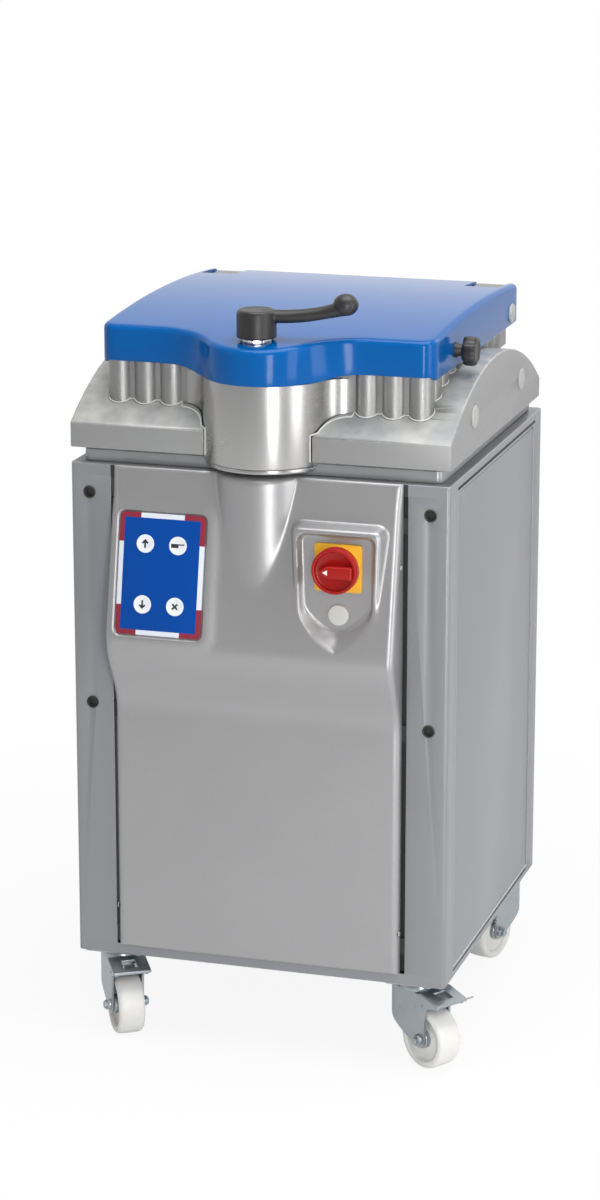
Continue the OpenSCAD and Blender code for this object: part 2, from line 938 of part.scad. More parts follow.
module cowl() {
    room = 2;
    color("lightgray") difference() {
        cowl_body(0);
        cowl_body(cowl_t);
        slab(z_deck, z_rim) {
            vat_plan(room);
            boss_plan(room);
        }
        for (y = cowl_cap_ys) rod_x(cowl_bolt_r + fit, -far, far, y, cowl_cap_z);
    }
}

module cowl_caps() {
    cap_t = 3;
    color("whitesmoke") for (s = [0, 1], y = cowl_cap_ys) mirror([s, 0, 0]) {
        rod_x(cowl_cap_d / 2, half_w, half_w + cap_t, y, cowl_cap_z);
        rod_x(cowl_bolt_r, half_w - cowl_t, half_w + 0.5, y, cowl_cap_z);
    }
}

module cowl_spacers() {
    spacer_r = 12;
    color("dimgray") for (s = [0, 1], y = cowl_cap_ys) mirror([s, 0, 0])
        rod_x(spacer_r, vat_half + gap, half_w - cowl_t, y, cowl_cap_z);
}

module lid_plan() {
    r = lid_corner_r;
    translate([0, (lid_front + lid_rear) / 2]) rounded(2 * lid_half, lid_rear - lid_front, r);
    translate([-lid_half, lid_rear - r]) square([2 * lid_half, r]);
}

// Everything below the lid's bowed top
module dome() {
    rod_x(lid_dome_r, -lid_half - 1, lid_half + 1, dome_y, z_crown - lid_dome_r, $fn = dome_steps);
}

module lid() {
    color("mediumblue") difference() {
        intersection() {
            union() {
                slab(z_lid, z_crown + 1) lid_plan();
                for (s = [0, 1]) mirror([s, 0, 0])
                    box(vat_half + hang_clear, lid_half, lid_front + lid_corner_r, lid_rear, z_hang, z_lid + 1);
                slab(z_nose, z_crown + 1) intersection() {
                    nose_plan(nose_r, nose_fillet, lid_front, nose_y);
                    translate([-far, lid_front - far]) square([2 * far, far]);
                }
            }
            dome();
        }
        slab(z_lid - 1, z_pocket) chamber_plan(gap - plate_play);
        slab(z_pocket - 1, z_hollow) chamber_plan(-hollow_in);
        for (s = [-1, 1])
            box(
                s * lug_x - lug_w / 2 - 1, s * lug_x + lug_w / 2 + 1,
                notch_front, lid_rear + 1, z_lid - 1, z_crown + 1
            );
        rod_x(hinge_r + fit, -far, far, hinge_y, z_hinge);
        rod_z(spindle_r + fit, z_nose - 1, z_crown, 0, lock_y);
        rod_z(collar_r + gap, z_collar, z_crown, 0, lock_y);
        rod_x(stud_r + fit, chamber_w / 2 - plate_play - 1, lid_half + 1, knob_y, knob_z);
    }
}

module lid_plate() {
    color("white") difference() {
        slab(z_plate, z_pocket) chamber_plan(-plate_play);
        rod_x(stud_r + gap, chamber_w / 2 - plate_play - stud_in - 1, lid_half, knob_y, knob_z);
    }
}

module lid_caps() {
    color("whitesmoke") for (s = [0, 1]) mirror([s, 0, 0])
        rod_x(lid_cap_r, lid_half, lid_half + lid_cap_t, hinge_y, z_hinge);
}

module lock_collar() {
    color("lightgray") translate([0, lock_y, z_collar]) difference() {
        cylinder(r = collar_r, h = collar_h, $fn = 8);
        translate([0, 0, -1]) cylinder(r = spindle_r + fit, h = collar_h + 2);
    }
}

module lock_handle() {
    rise = atan(lever_rise / lever_l);
    reach = lever_l / cos(rise);
    color("black") difference() {
        translate([0, lock_y, 0]) rotate([0, 0, lever_turn]) {
            translate([0, 0, z_hub]) cylinder(r = hub_d / 2, h = hub_h - hub_edge);
            translate([0, 0, z_hub_top - hub_edge])
                cylinder(r1 = hub_d / 2, r2 = hub_d / 2 - hub_edge, h = hub_edge);
            translate([0, 0, z_hub_top - lever_drop]) rotate([0, 90 - rise, 0]) {
                cylinder(r = lever_r, h = reach);
                translate([0, 0, reach]) sphere(r = lever_ball_d / 2);
            }
        }
        rod_z(spindle_r + fit, z_hub - 1, z_hub + hub_bore, 0, lock_y);
    }
}

module lock_spindle() {
    z_bar = z_boss_top - keeper_t - bar_under - bar_t;
    color("gray") {
        rod_z(spindle_r, z_bar + 1, z_hub + hub_bore - fit, 0, lock_y);
        box(-bar_w / 2, bar_w / 2, lock_y - bar_l / 2, lock_y + bar_l / 2, z_bar, z_bar + bar_t);
    }
}

module clamp_knob() {
    lobes = 6;
    lobe_r = 6;
    lobe_out = 4;
    ring_r = knob_d / 2 - lobe_r;
    x0 = lid_half + knob_neck;
    color("black") {
        rod_x(stud_r, chamber_w / 2 - plate_play - stud_in, x0 + bond, knob_y, knob_z);
        rod_x(2 * stud_r, lid_half + gap, x0 + bond, knob_y, knob_z);
        rod_x(knob_d / 2 - lobe_out, x0, x0 + knob_t, knob_y, knob_z);
        for (i = [0:lobes - 1])
            rod_x(
                lobe_r, x0, x0 + knob_t,
                knob_y + ring_r * cos(360 * i / lobes), knob_z + ring_r * sin(360 * i / lobes)
            );
    }
}

// Places of the four tie rods
module tie_places(r, z0, z1) {
    for (x = [-tie_x, tie_x], y = [-tie_y, tie_y]) rod_z(r, z0, z1, x, chamber_y + y);
}

module knife_ram_places(r, z0, z1) {
    for (x = [-knife_ram_x, knife_ram_x]) rod_z(r, z0, z1, x, chamber_y);
}

module frame_slab(z0, z1) {
    box(
        -tie_x - lug_margin, tie_x + lug_margin,
        chamber_y - tie_y - lug_margin, chamber_y + tie_y + lug_margin, z0, z1
    );
}

module tie_rods() {
    color("lightgray") tie_places(tie_r, z_cross, z_deck - deck_t);
}

module crosshead() {
    color("dimgray") frame_slab(z_cross - cross_t, z_cross);
}

// A cylinder barrel that stands on the crosshead, with a gland for the rod at its top
module barrel(outer, bore, rod) {
    rod_fit = rod + fit;
    difference() {
        cylinder(r = outer, h = barrel_l);
        translate([0, 0, barrel_end]) cylinder(r = bore + fit, h = barrel_l - barrel_end - gland_t);
        translate([0, 0, barrel_end]) cylinder(r = rod_fit, h = barrel_l);
    }
}

// A piston at the barrel's lower end, with a rod up to z1
module ram(bore, rod, z1) {
    z0 = z_cross + barrel_end + 1;
    translate([0, 0, z0]) cylinder(r = bore, h = piston_t);
    translate([0, 0, z0]) cylinder(r = rod, h = z1 - z0);
}

module press_cylinder() {
    color("steelblue") translate([0, chamber_y, z_cross]) barrel(barrel_r, piston_r, ram_r);
}

module press_ram() {
    color("lightgray") translate([0, chamber_y, 0]) ram(piston_r, ram_r, z_platform - platform_t);
}

module press_platform() {
    color("dimgray") difference() {
        frame_slab(z_platform - platform_t, z_platform);
        tie_places(tie_r + fit, 0, far);
        knife_ram_places(knife_ram_r + 7, 0, far);
    }
}

module press_plungers() {
    stem_r = 20;
    side = blade_t / 2 + 0.5;
    color("white") for (i = [0:cells_x - 1], j = [0:cells_y - 1])
        translate([(i + 0.5) * cell_w - chamber_w / 2, (j + 0.5) * cell_l + chamber_front, 0]) {
            slab(z_heads - head_t, z_heads) square([cell_w - 2 * side, cell_l - 2 * side], center = true);
            rod_z(stem_r, z_platform, z_heads - head_t + 1, 0, 0);
        }
}

module knife_carrier() {
    inside = 15;
    color("gray") difference() {
        union() {
            slab(z_carrier - carrier_t, z_carrier) chamber_plan(22);
            for (s = [-1, 1])
                box(
                    -tie_x - lug_margin, tie_x + lug_margin,
                    chamber_y + s * tie_y - lug_margin, chamber_y + s * tie_y + lug_margin,
                    z_carrier - carrier_t, z_carrier
                );
        }
        slab(z_carrier - carrier_t - 1, z_carrier + 1) chamber_plan(-inside);
        tie_places(tie_r + fit, 0, far);
    }
}

// Blades from front to rear are slotted in their upper half, blades from side to side in their lower half
module knife_blades() {
    end = 2;
    z_mid = z_carrier + blade_h / 2;
    t = blade_t / 2;
    s = t + fit;
    color("lightgray") {
        for (i = [1:cells_x - 1]) translate([i * cell_w - chamber_w / 2, 0, 0]) difference() {
            box(-t, t, chamber_front + end, chamber_rear - end, z_carrier, z_blades);
            for (j = [1:cells_y - 1]) translate([0, j * cell_l + chamber_front, 0])
                box(-2 * t, 2 * t, -s, s, z_mid, far);
        }
        for (j = [1:cells_y - 1]) translate([0, j * cell_l + chamber_front, 0]) difference() {
            box(end - chamber_w / 2, chamber_w / 2 - end, -t, t, z_carrier, z_blades);
            for (i = [1:cells_x - 1]) translate([i * cell_w - chamber_w / 2, 0, 0])
                box(-s, s, -2 * t, 2 * t, 0, z_mid + fit);
        }
    }
}

module knife_cylinders() {
    color("steelblue") for (x = [-knife_ram_x, knife_ram_x]) translate([x, chamber_y, z_cross])
        barrel(knife_barrel_r, knife_piston_r, knife_ram_r);
}

module knife_rams() {
    color("lightgray") for (x = [-knife_ram_x, knife_ram_x]) translate([x, chamber_y, 0])
        ram(knife_piston_r, knife_ram_r, z_carrier - carrier_t);
}

// An open tank with its cover plate as a second solid
module oil_tank() {
    z_cover = z_floor + tank_h;
    color("steelblue") {
        difference() {
            box(tank_x0, tank_x1, tank_y0, tank_y1, z_floor, z_cover);
            box(tank_x0 + tank_t, tank_x1 - tank_t, tank_y0 + tank_t, tank_y1 - tank_t, z_floor + tank_t, far);
        }
        box(tank_x0, tank_x1, tank_y0, tank_y1, z_cover + fit, z_cover + tank_t);
    }
}

module pump_motor() {
    foot_half = 50;
    foot_in = 30;
    z = z_floor + motor_r + motor_foot;
    color("slategray") {
        rod_y(motor_r, 0, motor_l, motor_x, z);
        box(motor_x - foot_half, motor_x + foot_half, foot_in, motor_l - foot_in, z_floor, z);
    }
}

module valve_block() {
    pump_half = 45;
    pump_l = 70;
    pipe_end = 10;
    pipe_up = 20;
    pipe_h = 60;
    pipe_z = z_floor + pipe_up;
    color("darkgray") {
        box(motor_x - pump_half, motor_x + pump_half, -pump_l, 0, z_floor, z_floor + 2 * motor_r);
        box(tank_x1, motor_x - pump_half + 1, pipe_end - pump_l, -pipe_end, pipe_z, pipe_z + pipe_h);
    }
}

module control_box() {
    y0 = front + rail_t;
    z1 = rail_zs[1] + rail_bar_h;
    color("darkslategray") box(-control_w / 2, control_w / 2, y0, y0 + control_d, z1 - control_h, z1);
}

// Places something at a castor, given its side, its end and its heading
module at_castor(side, end, heading) {
    translate([side * (half_w - castor_in), end * (half_d - castor_in), 0]) rotate([0, 0, heading]) children();
}

module castor_plates() {
    z_head = z_fork - gap - king_head_t;
    color("lightsteelblue") for (x = [-1, 1], y = [-1, 1]) at_castor(x, y, 0) {
        slab(z_base - castor_plate_t, z_base) rounded(castor_plate_w, castor_plate_l, castor_plate_r);
        rod_z(race_r, z_crown_top + gap, z_base - castor_plate_t + bond, 0, 0);
        rod_z(king_r, z_head, z_base - castor_plate_t, 0, 0);
        rod_z(king_head_r, z_head, z_fork - gap, 0, 0);
    }
}

// A pressed fork: two legs, a closed back and a crown, with its axle bolt as a second solid
module fork() {
    brace = z_fork - brace_drop;
    color("lightsteelblue") {
        difference() {
            union() {
                for (s = [0, 1]) mirror([s, 0, 0]) across(leg_in, leg_out) {
                    translate([-castor_trail, wheel_r]) circle(eye_r);
                    polygon([
                        [-castor_trail - eye_r, wheel_r], [-castor_trail + eye_r, wheel_r],
                        [fork_rear, brace - brace_lap], [fork_rear, z_crown_top],
                        [fork_front, z_crown_top], [fork_front, z_fork - lip_h], [-castor_trail - eye_r, brace]
                    ]);
                }
                box(-leg_out, leg_out, fork_rear - leg_t, fork_rear, brace - brace_lap, z_crown_top);
                box(-leg_out, leg_out, fork_front, fork_rear, z_fork, z_crown_top);
            }
            rod_z(king_r + fit, 0, far, 0, 0);
            rod_x(axle_d / 2 + fit, -far, far, -castor_trail, wheel_r);
            rod_x(pedal_pin_r + fit, -far, far, pedal_y, pedal_z);
        }
        rod_x(axle_d / 2, -leg_out - bond, leg_out + bond, -castor_trail, wheel_r);
        for (s = [0, 1]) mirror([s, 0, 0])
            rod_x(axle_head_r, leg_out + fit, leg_out + axle_head_t, -castor_trail, wheel_r);
    }
}

module wheel() {
    half = wheel_w / 2;
    hub = half + wheel_hub_out;
    bore = axle_d / 2 + fit;
    rim_r = wheel_r - wheel_rim;
    edge_r = wheel_r - wheel_edge;
    web = half - wheel_dish;
    tread = half - wheel_edge;
    color("whitesmoke") translate([0, -castor_trail, wheel_r]) rotate([0, 90, 0]) rotate_extrude() polygon([
        [bore, -hub], [wheel_hub_r, -hub], [wheel_hub_r, -web], [rim_r, -web], [rim_r, -half], [edge_r, -half],
        [wheel_r, -tread], [wheel_r, tread],
        [edge_r, half], [rim_r, half], [rim_r, web], [wheel_hub_r, web], [wheel_hub_r, hub], [bore, hub]
    ]);
}

// A brake pedal on a pin through the fork's legs, its tread over the wheel
module pedal() {
    t = pedal_t;
    root = leg_in - arm_clear;
    tip = -pedal_arm_l - tread_l;
    color("lightsteelblue") {
        rod_x(pedal_pin_r, -leg_out, leg_out, pedal_y, pedal_z);
        translate([0, pedal_y, pedal_z]) rotate([pedal_dip, 0, 0]) difference() {
            union() {
                rod_x(pedal_hub_r, -root, root, 0, 0);
                box(-root, root, -pedal_arm_l, 0, t, 2 * t);
                box(-tread_half, tread_half, tip, tread_lap - pedal_arm_l, t, 2 * t);
            }
            box(-tread_hole, tread_hole, tip + tread_edge, -pedal_arm_l - tread_edge, 0, 4 * t);
        }
    }
}

base_pan();
top_deck();
front_posts();
rear_posts();
front_rails();
left_side_panel();
right_side_panel();
rear_panel();
cable_gland();
post_plugs();
front_panel();
panel_plug();
keypad();
key(-1, 1);  // key_up
key(1, 1);  // key_cut
key(-1, -1);  // key_down
key(1, -1);  // key_stop
switch_plate();
switch_body();
switch_knob();
neck_ring();
vat();
boss_plate();
lock_keeper();
hinge_shaft();
cowl();
cowl_caps();
cowl_spacers();
lid();
lid_plate();
lid_caps();
lock_collar();
lock_handle();
lock_spindle();
clamp_knob();
tie_rods();
crosshead();
press_cylinder();
press_ram();
press_platform();
press_plungers();
knife_carrier();
knife_blades();
knife_cylinders();
knife_rams();
oil_tank();
pump_motor();
valve_block();
control_box();
castor_plates();
at_castor(-1, -1, heading_fl) fork();  // fork_fl
at_castor(1, -1, heading_fr) fork();  // fork_fr
at_castor(-1, 1, heading_rl) fork();  // fork_rl
at_castor(1, 1, heading_rr) fork();  // fork_rr
at_castor(-1, -1, heading_fl) wheel();  // wheel_fl
at_castor(1, -1, heading_fr) wheel();  // wheel_fr
at_castor(-1, 1, heading_rl) wheel();  // wheel_rl
at_castor(1, 1, heading_rr) wheel();  // wheel_rr
at_castor(-1, -1, heading_fl) pedal();  // pedal_fl
at_castor(1, -1, heading_fr) pedal();  // pedal_fr
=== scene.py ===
import math

import bmesh
import bpy
import numpy as np
from mathutils import Matrix, Vector


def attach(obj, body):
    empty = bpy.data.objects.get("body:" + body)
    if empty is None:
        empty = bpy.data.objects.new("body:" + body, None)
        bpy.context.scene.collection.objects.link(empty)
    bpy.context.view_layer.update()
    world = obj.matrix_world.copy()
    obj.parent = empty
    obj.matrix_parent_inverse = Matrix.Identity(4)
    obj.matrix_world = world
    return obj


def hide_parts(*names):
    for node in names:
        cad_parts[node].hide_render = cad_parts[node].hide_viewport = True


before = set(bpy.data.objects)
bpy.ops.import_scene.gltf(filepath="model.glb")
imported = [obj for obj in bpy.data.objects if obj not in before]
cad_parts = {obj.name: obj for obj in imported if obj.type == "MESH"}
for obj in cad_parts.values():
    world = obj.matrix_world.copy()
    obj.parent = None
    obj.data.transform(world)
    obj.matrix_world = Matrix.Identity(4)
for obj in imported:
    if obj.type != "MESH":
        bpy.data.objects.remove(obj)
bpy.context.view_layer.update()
scene = bpy.context.scene
MM = 0.001


# Shading: small helpers that place and link nodes

class Board:
    """A node tree to which nodes are added with their inputs set or linked."""

    def __init__(self, tree):
        self.tree = tree

    def feed(self, socket, value):
        if isinstance(value, bpy.types.NodeSocket):
            self.tree.links.new(value, socket)
        else:
            socket.default_value = value

    def add(self, kind, inputs=None, **settings):
        node = self.tree.nodes.new(kind)
        for key, value in settings.items():
            setattr(node, key, value)
        for key, value in (inputs or {}).items():
            self.feed(node.inputs[key], value)
        return node

    def maths(self, operation, a, b=0.0):
        return self.add("ShaderNodeMath", {0: a, 1: b}, operation=operation).outputs[0]

    def mix(self, share, a, b):
        return self.add("ShaderNodeMix", {0: share, 6: a, 7: b}, data_type="RGBA").outputs[2]

    def ramp(self, value, low, high, to_low=0.0, to_high=1.0):
        inputs = {0: value, 1: low, 2: high, 3: to_low, 4: to_high}
        return self.add("ShaderNodeMapRange", inputs).outputs[0]

    def noise(self, place, scale, detail=2.0):
        inputs = {"Vector": place, "Scale": scale, "Detail": detail}
        return self.add("ShaderNodeTexNoise", inputs).outputs["Fac"]


def shader_group(name, inputs, outputs):
    tree = bpy.data.node_groups.new(name, "ShaderNodeTree")
    for label, value in inputs.items():
        socket = tree.interface.new_socket(label, in_out="INPUT", socket_type="NodeSocketFloat")
        socket.default_value = value
    for label in outputs:
        tree.interface.new_socket(label, in_out="OUTPUT", socket_type="NodeSocketFloat")
    board = Board(tree)
    return board, board.add("NodeGroupInput").outputs, board.add("NodeGroupOutput").inputs


def grain_group():
    """Fine grain and broad clouding of a surface, from 0 to 1, and a height for bump."""
    board, given, result = shader_group(
        "surface_grain", {"Fine Scale": 800.0, "Broad Scale": 6.0}, ("Fine", "Broad", "Height"))
    place = board.add("ShaderNodeTexCoord").outputs["Object"]
    fine = board.noise(place, given["Fine Scale"], 3.0)
    broad = board.noise(place, given["Broad Scale"], 3.0)
    board.feed(result["Fine"], board.ramp(fine, 0.25, 0.75))
    board.feed(result["Broad"], board.ramp(broad, 0.3, 0.7))
    board.feed(result["Height"], fine)
    return board.tree


def wear_group():
    """Rubbed edges, where the faces carry the value edge, broken up by a coarse noise."""
    board, given, result = shader_group("edge_rub", {"Amount": 0.5, "Break Scale": 90.0}, ("Rub",))
    place = board.add("ShaderNodeTexCoord").outputs["Object"]
    edge = board.add("ShaderNodeAttribute", attribute_name="edge").outputs["Fac"]
    broken = board.ramp(board.noise(place, given["Break Scale"], 4.0), 0.35, 0.7)
    board.feed(result["Rub"], board.maths("MULTIPLY", board.maths("MULTIPLY", edge, broken), given["Amount"]))
    return board.tree


def dust_group():
    """Fine flour dust that settles on faces that look up."""
    board, given, result = shader_group("flour_dust", {"Amount": 0.1, "Patch Scale": 25.0}, ("Dust",))
    place = board.add("ShaderNodeTexCoord").outputs["Object"]
    normal = board.add("ShaderNodeNewGeometry").outputs["Normal"]
    up = board.add("ShaderNodeSeparateXYZ", {0: normal}).outputs["Z"]
    patch = board.ramp(board.noise(place, given["Patch Scale"], 5.0), 0.4, 0.75)
    level = board.maths("MULTIPLY", board.ramp(up, 0.5, 1.0), patch)
    board.feed(result["Dust"], board.maths("MULTIPLY", level, given["Amount"]))
    return board.tree


GRAIN = grain_group()
WEAR = wear_group()
DUST = dust_group()


def shade(colour, share):
    return tuple(min(1.0, c * share) for c in colour[:3]) + (1.0,)


FLOUR = (0.78, 0.76, 0.7, 1.0)
RUBBED = 1.6    # how much brighter than its paint a rubbed edge is


def finish_of(name, colour, rough, metal=0.0, fine=800.0, broad=6.0, tone=0.06, cloud=0.05, play=0.06,
              bump=0.08, depth=0.0004, rub=0.0, rub_colour=None, dust=0.0, ior=1.5, print_of=None):
    """A finish with grain, clouding, rubbed edges and dust round one base colour."""
    material = bpy.data.materials.new(name)
    material.use_nodes = True
    board = Board(material.node_tree)
    grain = board.add("ShaderNodeGroup", {"Fine Scale": fine, "Broad Scale": broad}, node_tree=GRAIN).outputs
    base = board.mix(grain["Fine"], shade(colour, 1 - tone), shade(colour, 1 + tone))
    clouded = board.mix(grain["Broad"], shade(colour, 1 - cloud), shade(colour, 1 + cloud))
    base = board.mix(0.5, base, clouded)
    if print_of:
        base = print_of(board, base)
    if rub:
        worn = board.add("ShaderNodeGroup", {"Amount": rub}, node_tree=WEAR).outputs["Rub"]
        base = board.mix(worn, base, shade(rub_colour, 1.0) if rub_colour else shade(colour, RUBBED))
    if dust:
        settled = board.add("ShaderNodeGroup", {"Amount": dust}, node_tree=DUST).outputs["Dust"]
        base = board.mix(settled, base, FLOUR)
    mixed = board.maths("MULTIPLY", board.maths("ADD", grain["Fine"], grain["Broad"]), 0.5)
    raised = board.add("ShaderNodeBump", {"Strength": bump, "Distance": depth, "Height": grain["Height"]})
    surface = {"Base Color": base, "Roughness": board.ramp(mixed, 0.0, 1.0, rough - play, rough + play),
               "Normal": raised.outputs["Normal"], "Metallic": metal, "IOR": ior}
    for label, value in surface.items():
        board.feed(material.node_tree.nodes["Principled BSDF"].inputs[label], value)
    return material


casing_paint = finish_of("casing_paint", (0.262, 0.265, 0.28), 0.34, 0.35, tone=0.07, bump=0.1, rub=0.45,
                         dust=0.04)
cowl_paint = finish_of("cowl_paint", (0.29, 0.292, 0.29), 0.38, 0.25, tone=0.07, bump=0.12, rub=0.4,
                       dust=0.45)
# The neck ring has the casing's grey; this copy is lighter, painted light against the shadow under the hood
neck_paint_painted_light = finish_of("neck_paint_painted_light", (0.34, 0.345, 0.35), 0.32, 0.4, tone=0.07, bump=0.1, rub=0.5)
# About twice as light as the hood paint: a painted highlight on the raised bead along the hood's seam
painted_seam_highlight = finish_of("painted_seam_highlight", (0.56, 0.56, 0.54), 0.5, tone=0.08, bump=0.2)
panel_silver = finish_of("panel_silver", (0.36, 0.355, 0.36), 0.34, 0.6, fine=1100.0, tone=0.12,
                         bump=0.12, rub=0.3)
cast_rough = finish_of("cast_rough", (0.315, 0.312, 0.31), 0.4, 0.9, fine=620.0, broad=18.0, tone=0.26,
                       cloud=0.1, play=0.18, bump=0.42, depth=0.0009)
cast_satin = finish_of("cast_satin", (0.44, 0.435, 0.43), 0.25, 0.88, fine=900.0, tone=0.1, bump=0.1)
lid_gloss = finish_of("lid_gloss", (0.0, 0.09, 0.325), 0.13, fine=260.0, broad=4.0, tone=0.04, cloud=0.06,
                      play=0.03, bump=0.03, depth=0.0006, ior=1.29)
cap_white = finish_of("cap_white", (0.53, 0.53, 0.5), 0.42, fine=700.0, tone=0.03, cloud=0.04)
cap_grey = finish_of("cap_grey", (0.4, 0.405, 0.395), 0.42, fine=700.0, tone=0.04, cloud=0.05)
food_white = finish_of("food_white", (0.8, 0.8, 0.77), 0.45, fine=500.0, tone=0.02, cloud=0.04)
black_plastic = finish_of("black_plastic", (0.016, 0.015, 0.015), 0.4, fine=900.0, tone=0.2, cloud=0.1,
                          bump=0.2)
switch_yellow = finish_of("switch_yellow", (0.72, 0.37, 0.012), 0.38, fine=700.0, tone=0.04)
switch_red = finish_of("switch_red", (0.33, 0.008, 0.006), 0.24, fine=500.0, tone=0.06, ior=1.36)
mark_white = finish_of("mark_white", (0.8, 0.8, 0.78), 0.5, tone=0.03)
mark_black = finish_of("mark_black", (0.02, 0.02, 0.022), 0.45, tone=0.15)
key_white = finish_of("key_white", (0.72, 0.75, 0.78), 0.4, fine=600.0, tone=0.02)
chrome = finish_of("chrome", (0.72, 0.72, 0.73), 0.1, 1.0, tone=0.02, cloud=0.05, play=0.04, bump=0.02)
steel = finish_of("steel", (0.52, 0.52, 0.52), 0.32, 1.0, fine=500.0, tone=0.08, play=0.1)
machine_paint = finish_of("machine_paint", (0.1, 0.16, 0.24), 0.4, fine=300.0, tone=0.08, bump=0.2, dust=0.2)
zinc = finish_of("zinc", (0.37, 0.405, 0.43), 0.3, 0.85, fine=900.0, broad=26.0, tone=0.05, cloud=0.1,
                 play=0.07, bump=0.02, rub=0.4, rub_colour=(0.78, 0.81, 0.83))
# Much lighter than the casing paint: a painted highlight for the side panels' rolled edges
painted_edge_highlight = finish_of("painted_edge_highlight", (0.6, 0.61, 0.62), 0.28, 0.6, tone=0.06, bump=0.06)
nylon = finish_of("nylon", (0.7, 0.695, 0.675), 0.38, fine=350.0, broad=18.0, tone=0.03, cloud=0.06, bump=0.1)


KEYPAD_W, KEYPAD_H, KEYPAD_CORNER = 141.0, 193.0, 8.0
KEYPAD_BORDER = 7.8
RED_FROM_X, RED_FROM_Y = 36.0, 50.0
BORDER_WHITE, BORDER_RED = (0.66, 0.7, 0.76, 1), (0.25, 0.026, 0.044, 1)


def keypad_print(board, base):
    """A blue field with a border of red corners and white runs, laid out on the plate's own map."""
    chart = board.add("ShaderNodeUVMap", uv_map="print").outputs[0]
    spot = board.add("ShaderNodeSeparateXYZ", {0: chart}).outputs
    u, v = board.maths("ABSOLUTE", spot["X"]), board.maths("ABSOLUTE", spot["Y"])
    past_u = board.maths("SUBTRACT", u, (KEYPAD_W / 2 - KEYPAD_BORDER) * MM)
    past_v = board.maths("SUBTRACT", v, (KEYPAD_H / 2 - KEYPAD_BORDER) * MM)
    border = board.maths("GREATER_THAN", board.maths("MAXIMUM", past_u, past_v), 0.0)
    red_u = board.maths("GREATER_THAN", u, RED_FROM_X * MM)
    red_v = board.maths("GREATER_THAN", v, RED_FROM_Y * MM)
    corner = board.maths("MULTIPLY", red_u, red_v)
    strip = board.mix(corner, BORDER_WHITE, BORDER_RED)
    return board.mix(border, base, strip)


keypad_face = finish_of("keypad_face", (0.0, 0.055, 0.3), 0.34, fine=900.0, tone=0.06, ior=1.27,
                        print_of=keypad_print)
# Near-black painted shade, laid in gaps and on rails where shade falls
painted_gap_shade = finish_of("painted_gap_shade", (0.02, 0.02, 0.02), 0.7, tone=0.2)


# Shapes: outlines in millimetres, lofted, turned or softened into closed pieces

POLE = 1e-4    # radius that stands for a point on the axis
MERGE = 2e-6    # points closer than this, in metres, become one
RIGHT, FRONT, REAR, UP = (1, 0, 0), (0, -1, 0), (0, 1, 0), (0, 0, 1)


def arc(cx, cy, r, start, end, count):
    turn = np.radians(np.linspace(start, end, count))
    return np.c_[cx + r * np.cos(turn), cy + r * np.sin(turn)]


def rounded(w, h, r, count=7):
    x, y = w / 2 - r, h / 2 - r
    return np.vstack([arc(x, y, r, 0, 90, count), arc(-x, y, r, 90, 180, count),
                      arc(-x, -y, r, 180, 270, count), arc(x, -y, r, 270, 360, count)])


def inset(outline, by):
    """A closed outline that runs anticlockwise, drawn in on all sides."""
    before, after = np.roll(outline, 1, 0), np.roll(outline, -1, 0)
    one, two = outline - before, after - outline
    one /= np.maximum(np.linalg.norm(one, axis=1), 1e-9)[:, None]
    two /= np.maximum(np.linalg.norm(two, axis=1), 1e-9)[:, None]
    normal_one, normal_two = np.c_[-one[:, 1], one[:, 0]], np.c_[-two[:, 1], two[:, 0]]
    middle = normal_one + normal_two
    reach = np.maximum((middle * normal_one).sum(1), 0.3)
    return outline + middle * (by / reach)[:, None]


def loft(loops, cap_start=True, cap_end=True):
    count = len(loops[0])
    faces = []
    for i in range(len(loops) - 1):
        for j in range(count):
            k = (j + 1) % count
            faces.append((i * count + j, i * count + k, (i + 1) * count + k, (i + 1) * count + j))
    if cap_start:
        faces.append(tuple(range(count))[::-1])
    if cap_end:
        faces.append(tuple(range((len(loops) - 1) * count, len(loops) * count)))
    return np.vstack(loops), faces


def evenly(outline, step):
    """A closed outline with points added along its long straight runs."""
    filled = []
    for a, b in zip(outline, np.roll(outline, -1, 0)):
        count = max(1, int(np.ceil(np.linalg.norm(b - a) / step)))
        filled.append(a + (b - a) * np.linspace(0, 1, count, endpoint=False)[:, None])
    return np.vstack(filled)


def at_height(outline, z):
    return np.c_[outline, np.full(len(outline), z)]


def soft_slab(outline, low, high, top=0.0, bottom=0.0, steps=3):
    """A plate of that outline whose rims are rounded off."""
    turns = np.linspace(0, math.pi / 2, steps + 1)
    foot, head = [at_height(outline, low)], [at_height(outline, high)]
    if bottom:
        foot = [at_height(inset(outline, bottom * (1 - math.sin(turn))), low + bottom * (1 - math.cos(turn)))
                for turn in turns]
    if top:
        head = [at_height(inset(outline, top * (1 - math.cos(turn))), high - top * (1 - math.sin(turn)))
                for turn in turns]
    return loft(foot + head)


def turns_of(count):
    return np.linspace(0, 2 * math.pi, count, endpoint=False)


def round_of(count):
    """Points of a circle of radius 1."""
    return np.c_[np.cos(turns_of(count)), np.sin(turns_of(count))]


def turned(profile, count=48):
    """A profile of radius and height, from the axis round to the axis, turned about Z."""
    circle = round_of(count)
    return loft([at_height(circle * max(r, POLE), h) for r, h in profile])


def stand(origin, out, up):
    """Puts points of a local frame into the shared one: local Z runs along out, local Y along up."""
    z = np.array(out, float) / np.linalg.norm(out)
    y = np.array(up, float) - z * np.dot(up, z)
    y /= np.linalg.norm(y)
    x = np.cross(y, z)
    return lambda points: np.array(points) @ np.array([x, y, z]) + np.array(origin)


def mesh_object(name, mesh):
    piece = bpy.data.objects.new(name, mesh)
    scene.collection.objects.link(piece)
    return piece


def smooth(mesh, sharp):
    mesh.shade_smooth()
    mesh.set_sharp_from_angle(angle=math.radians(sharp))


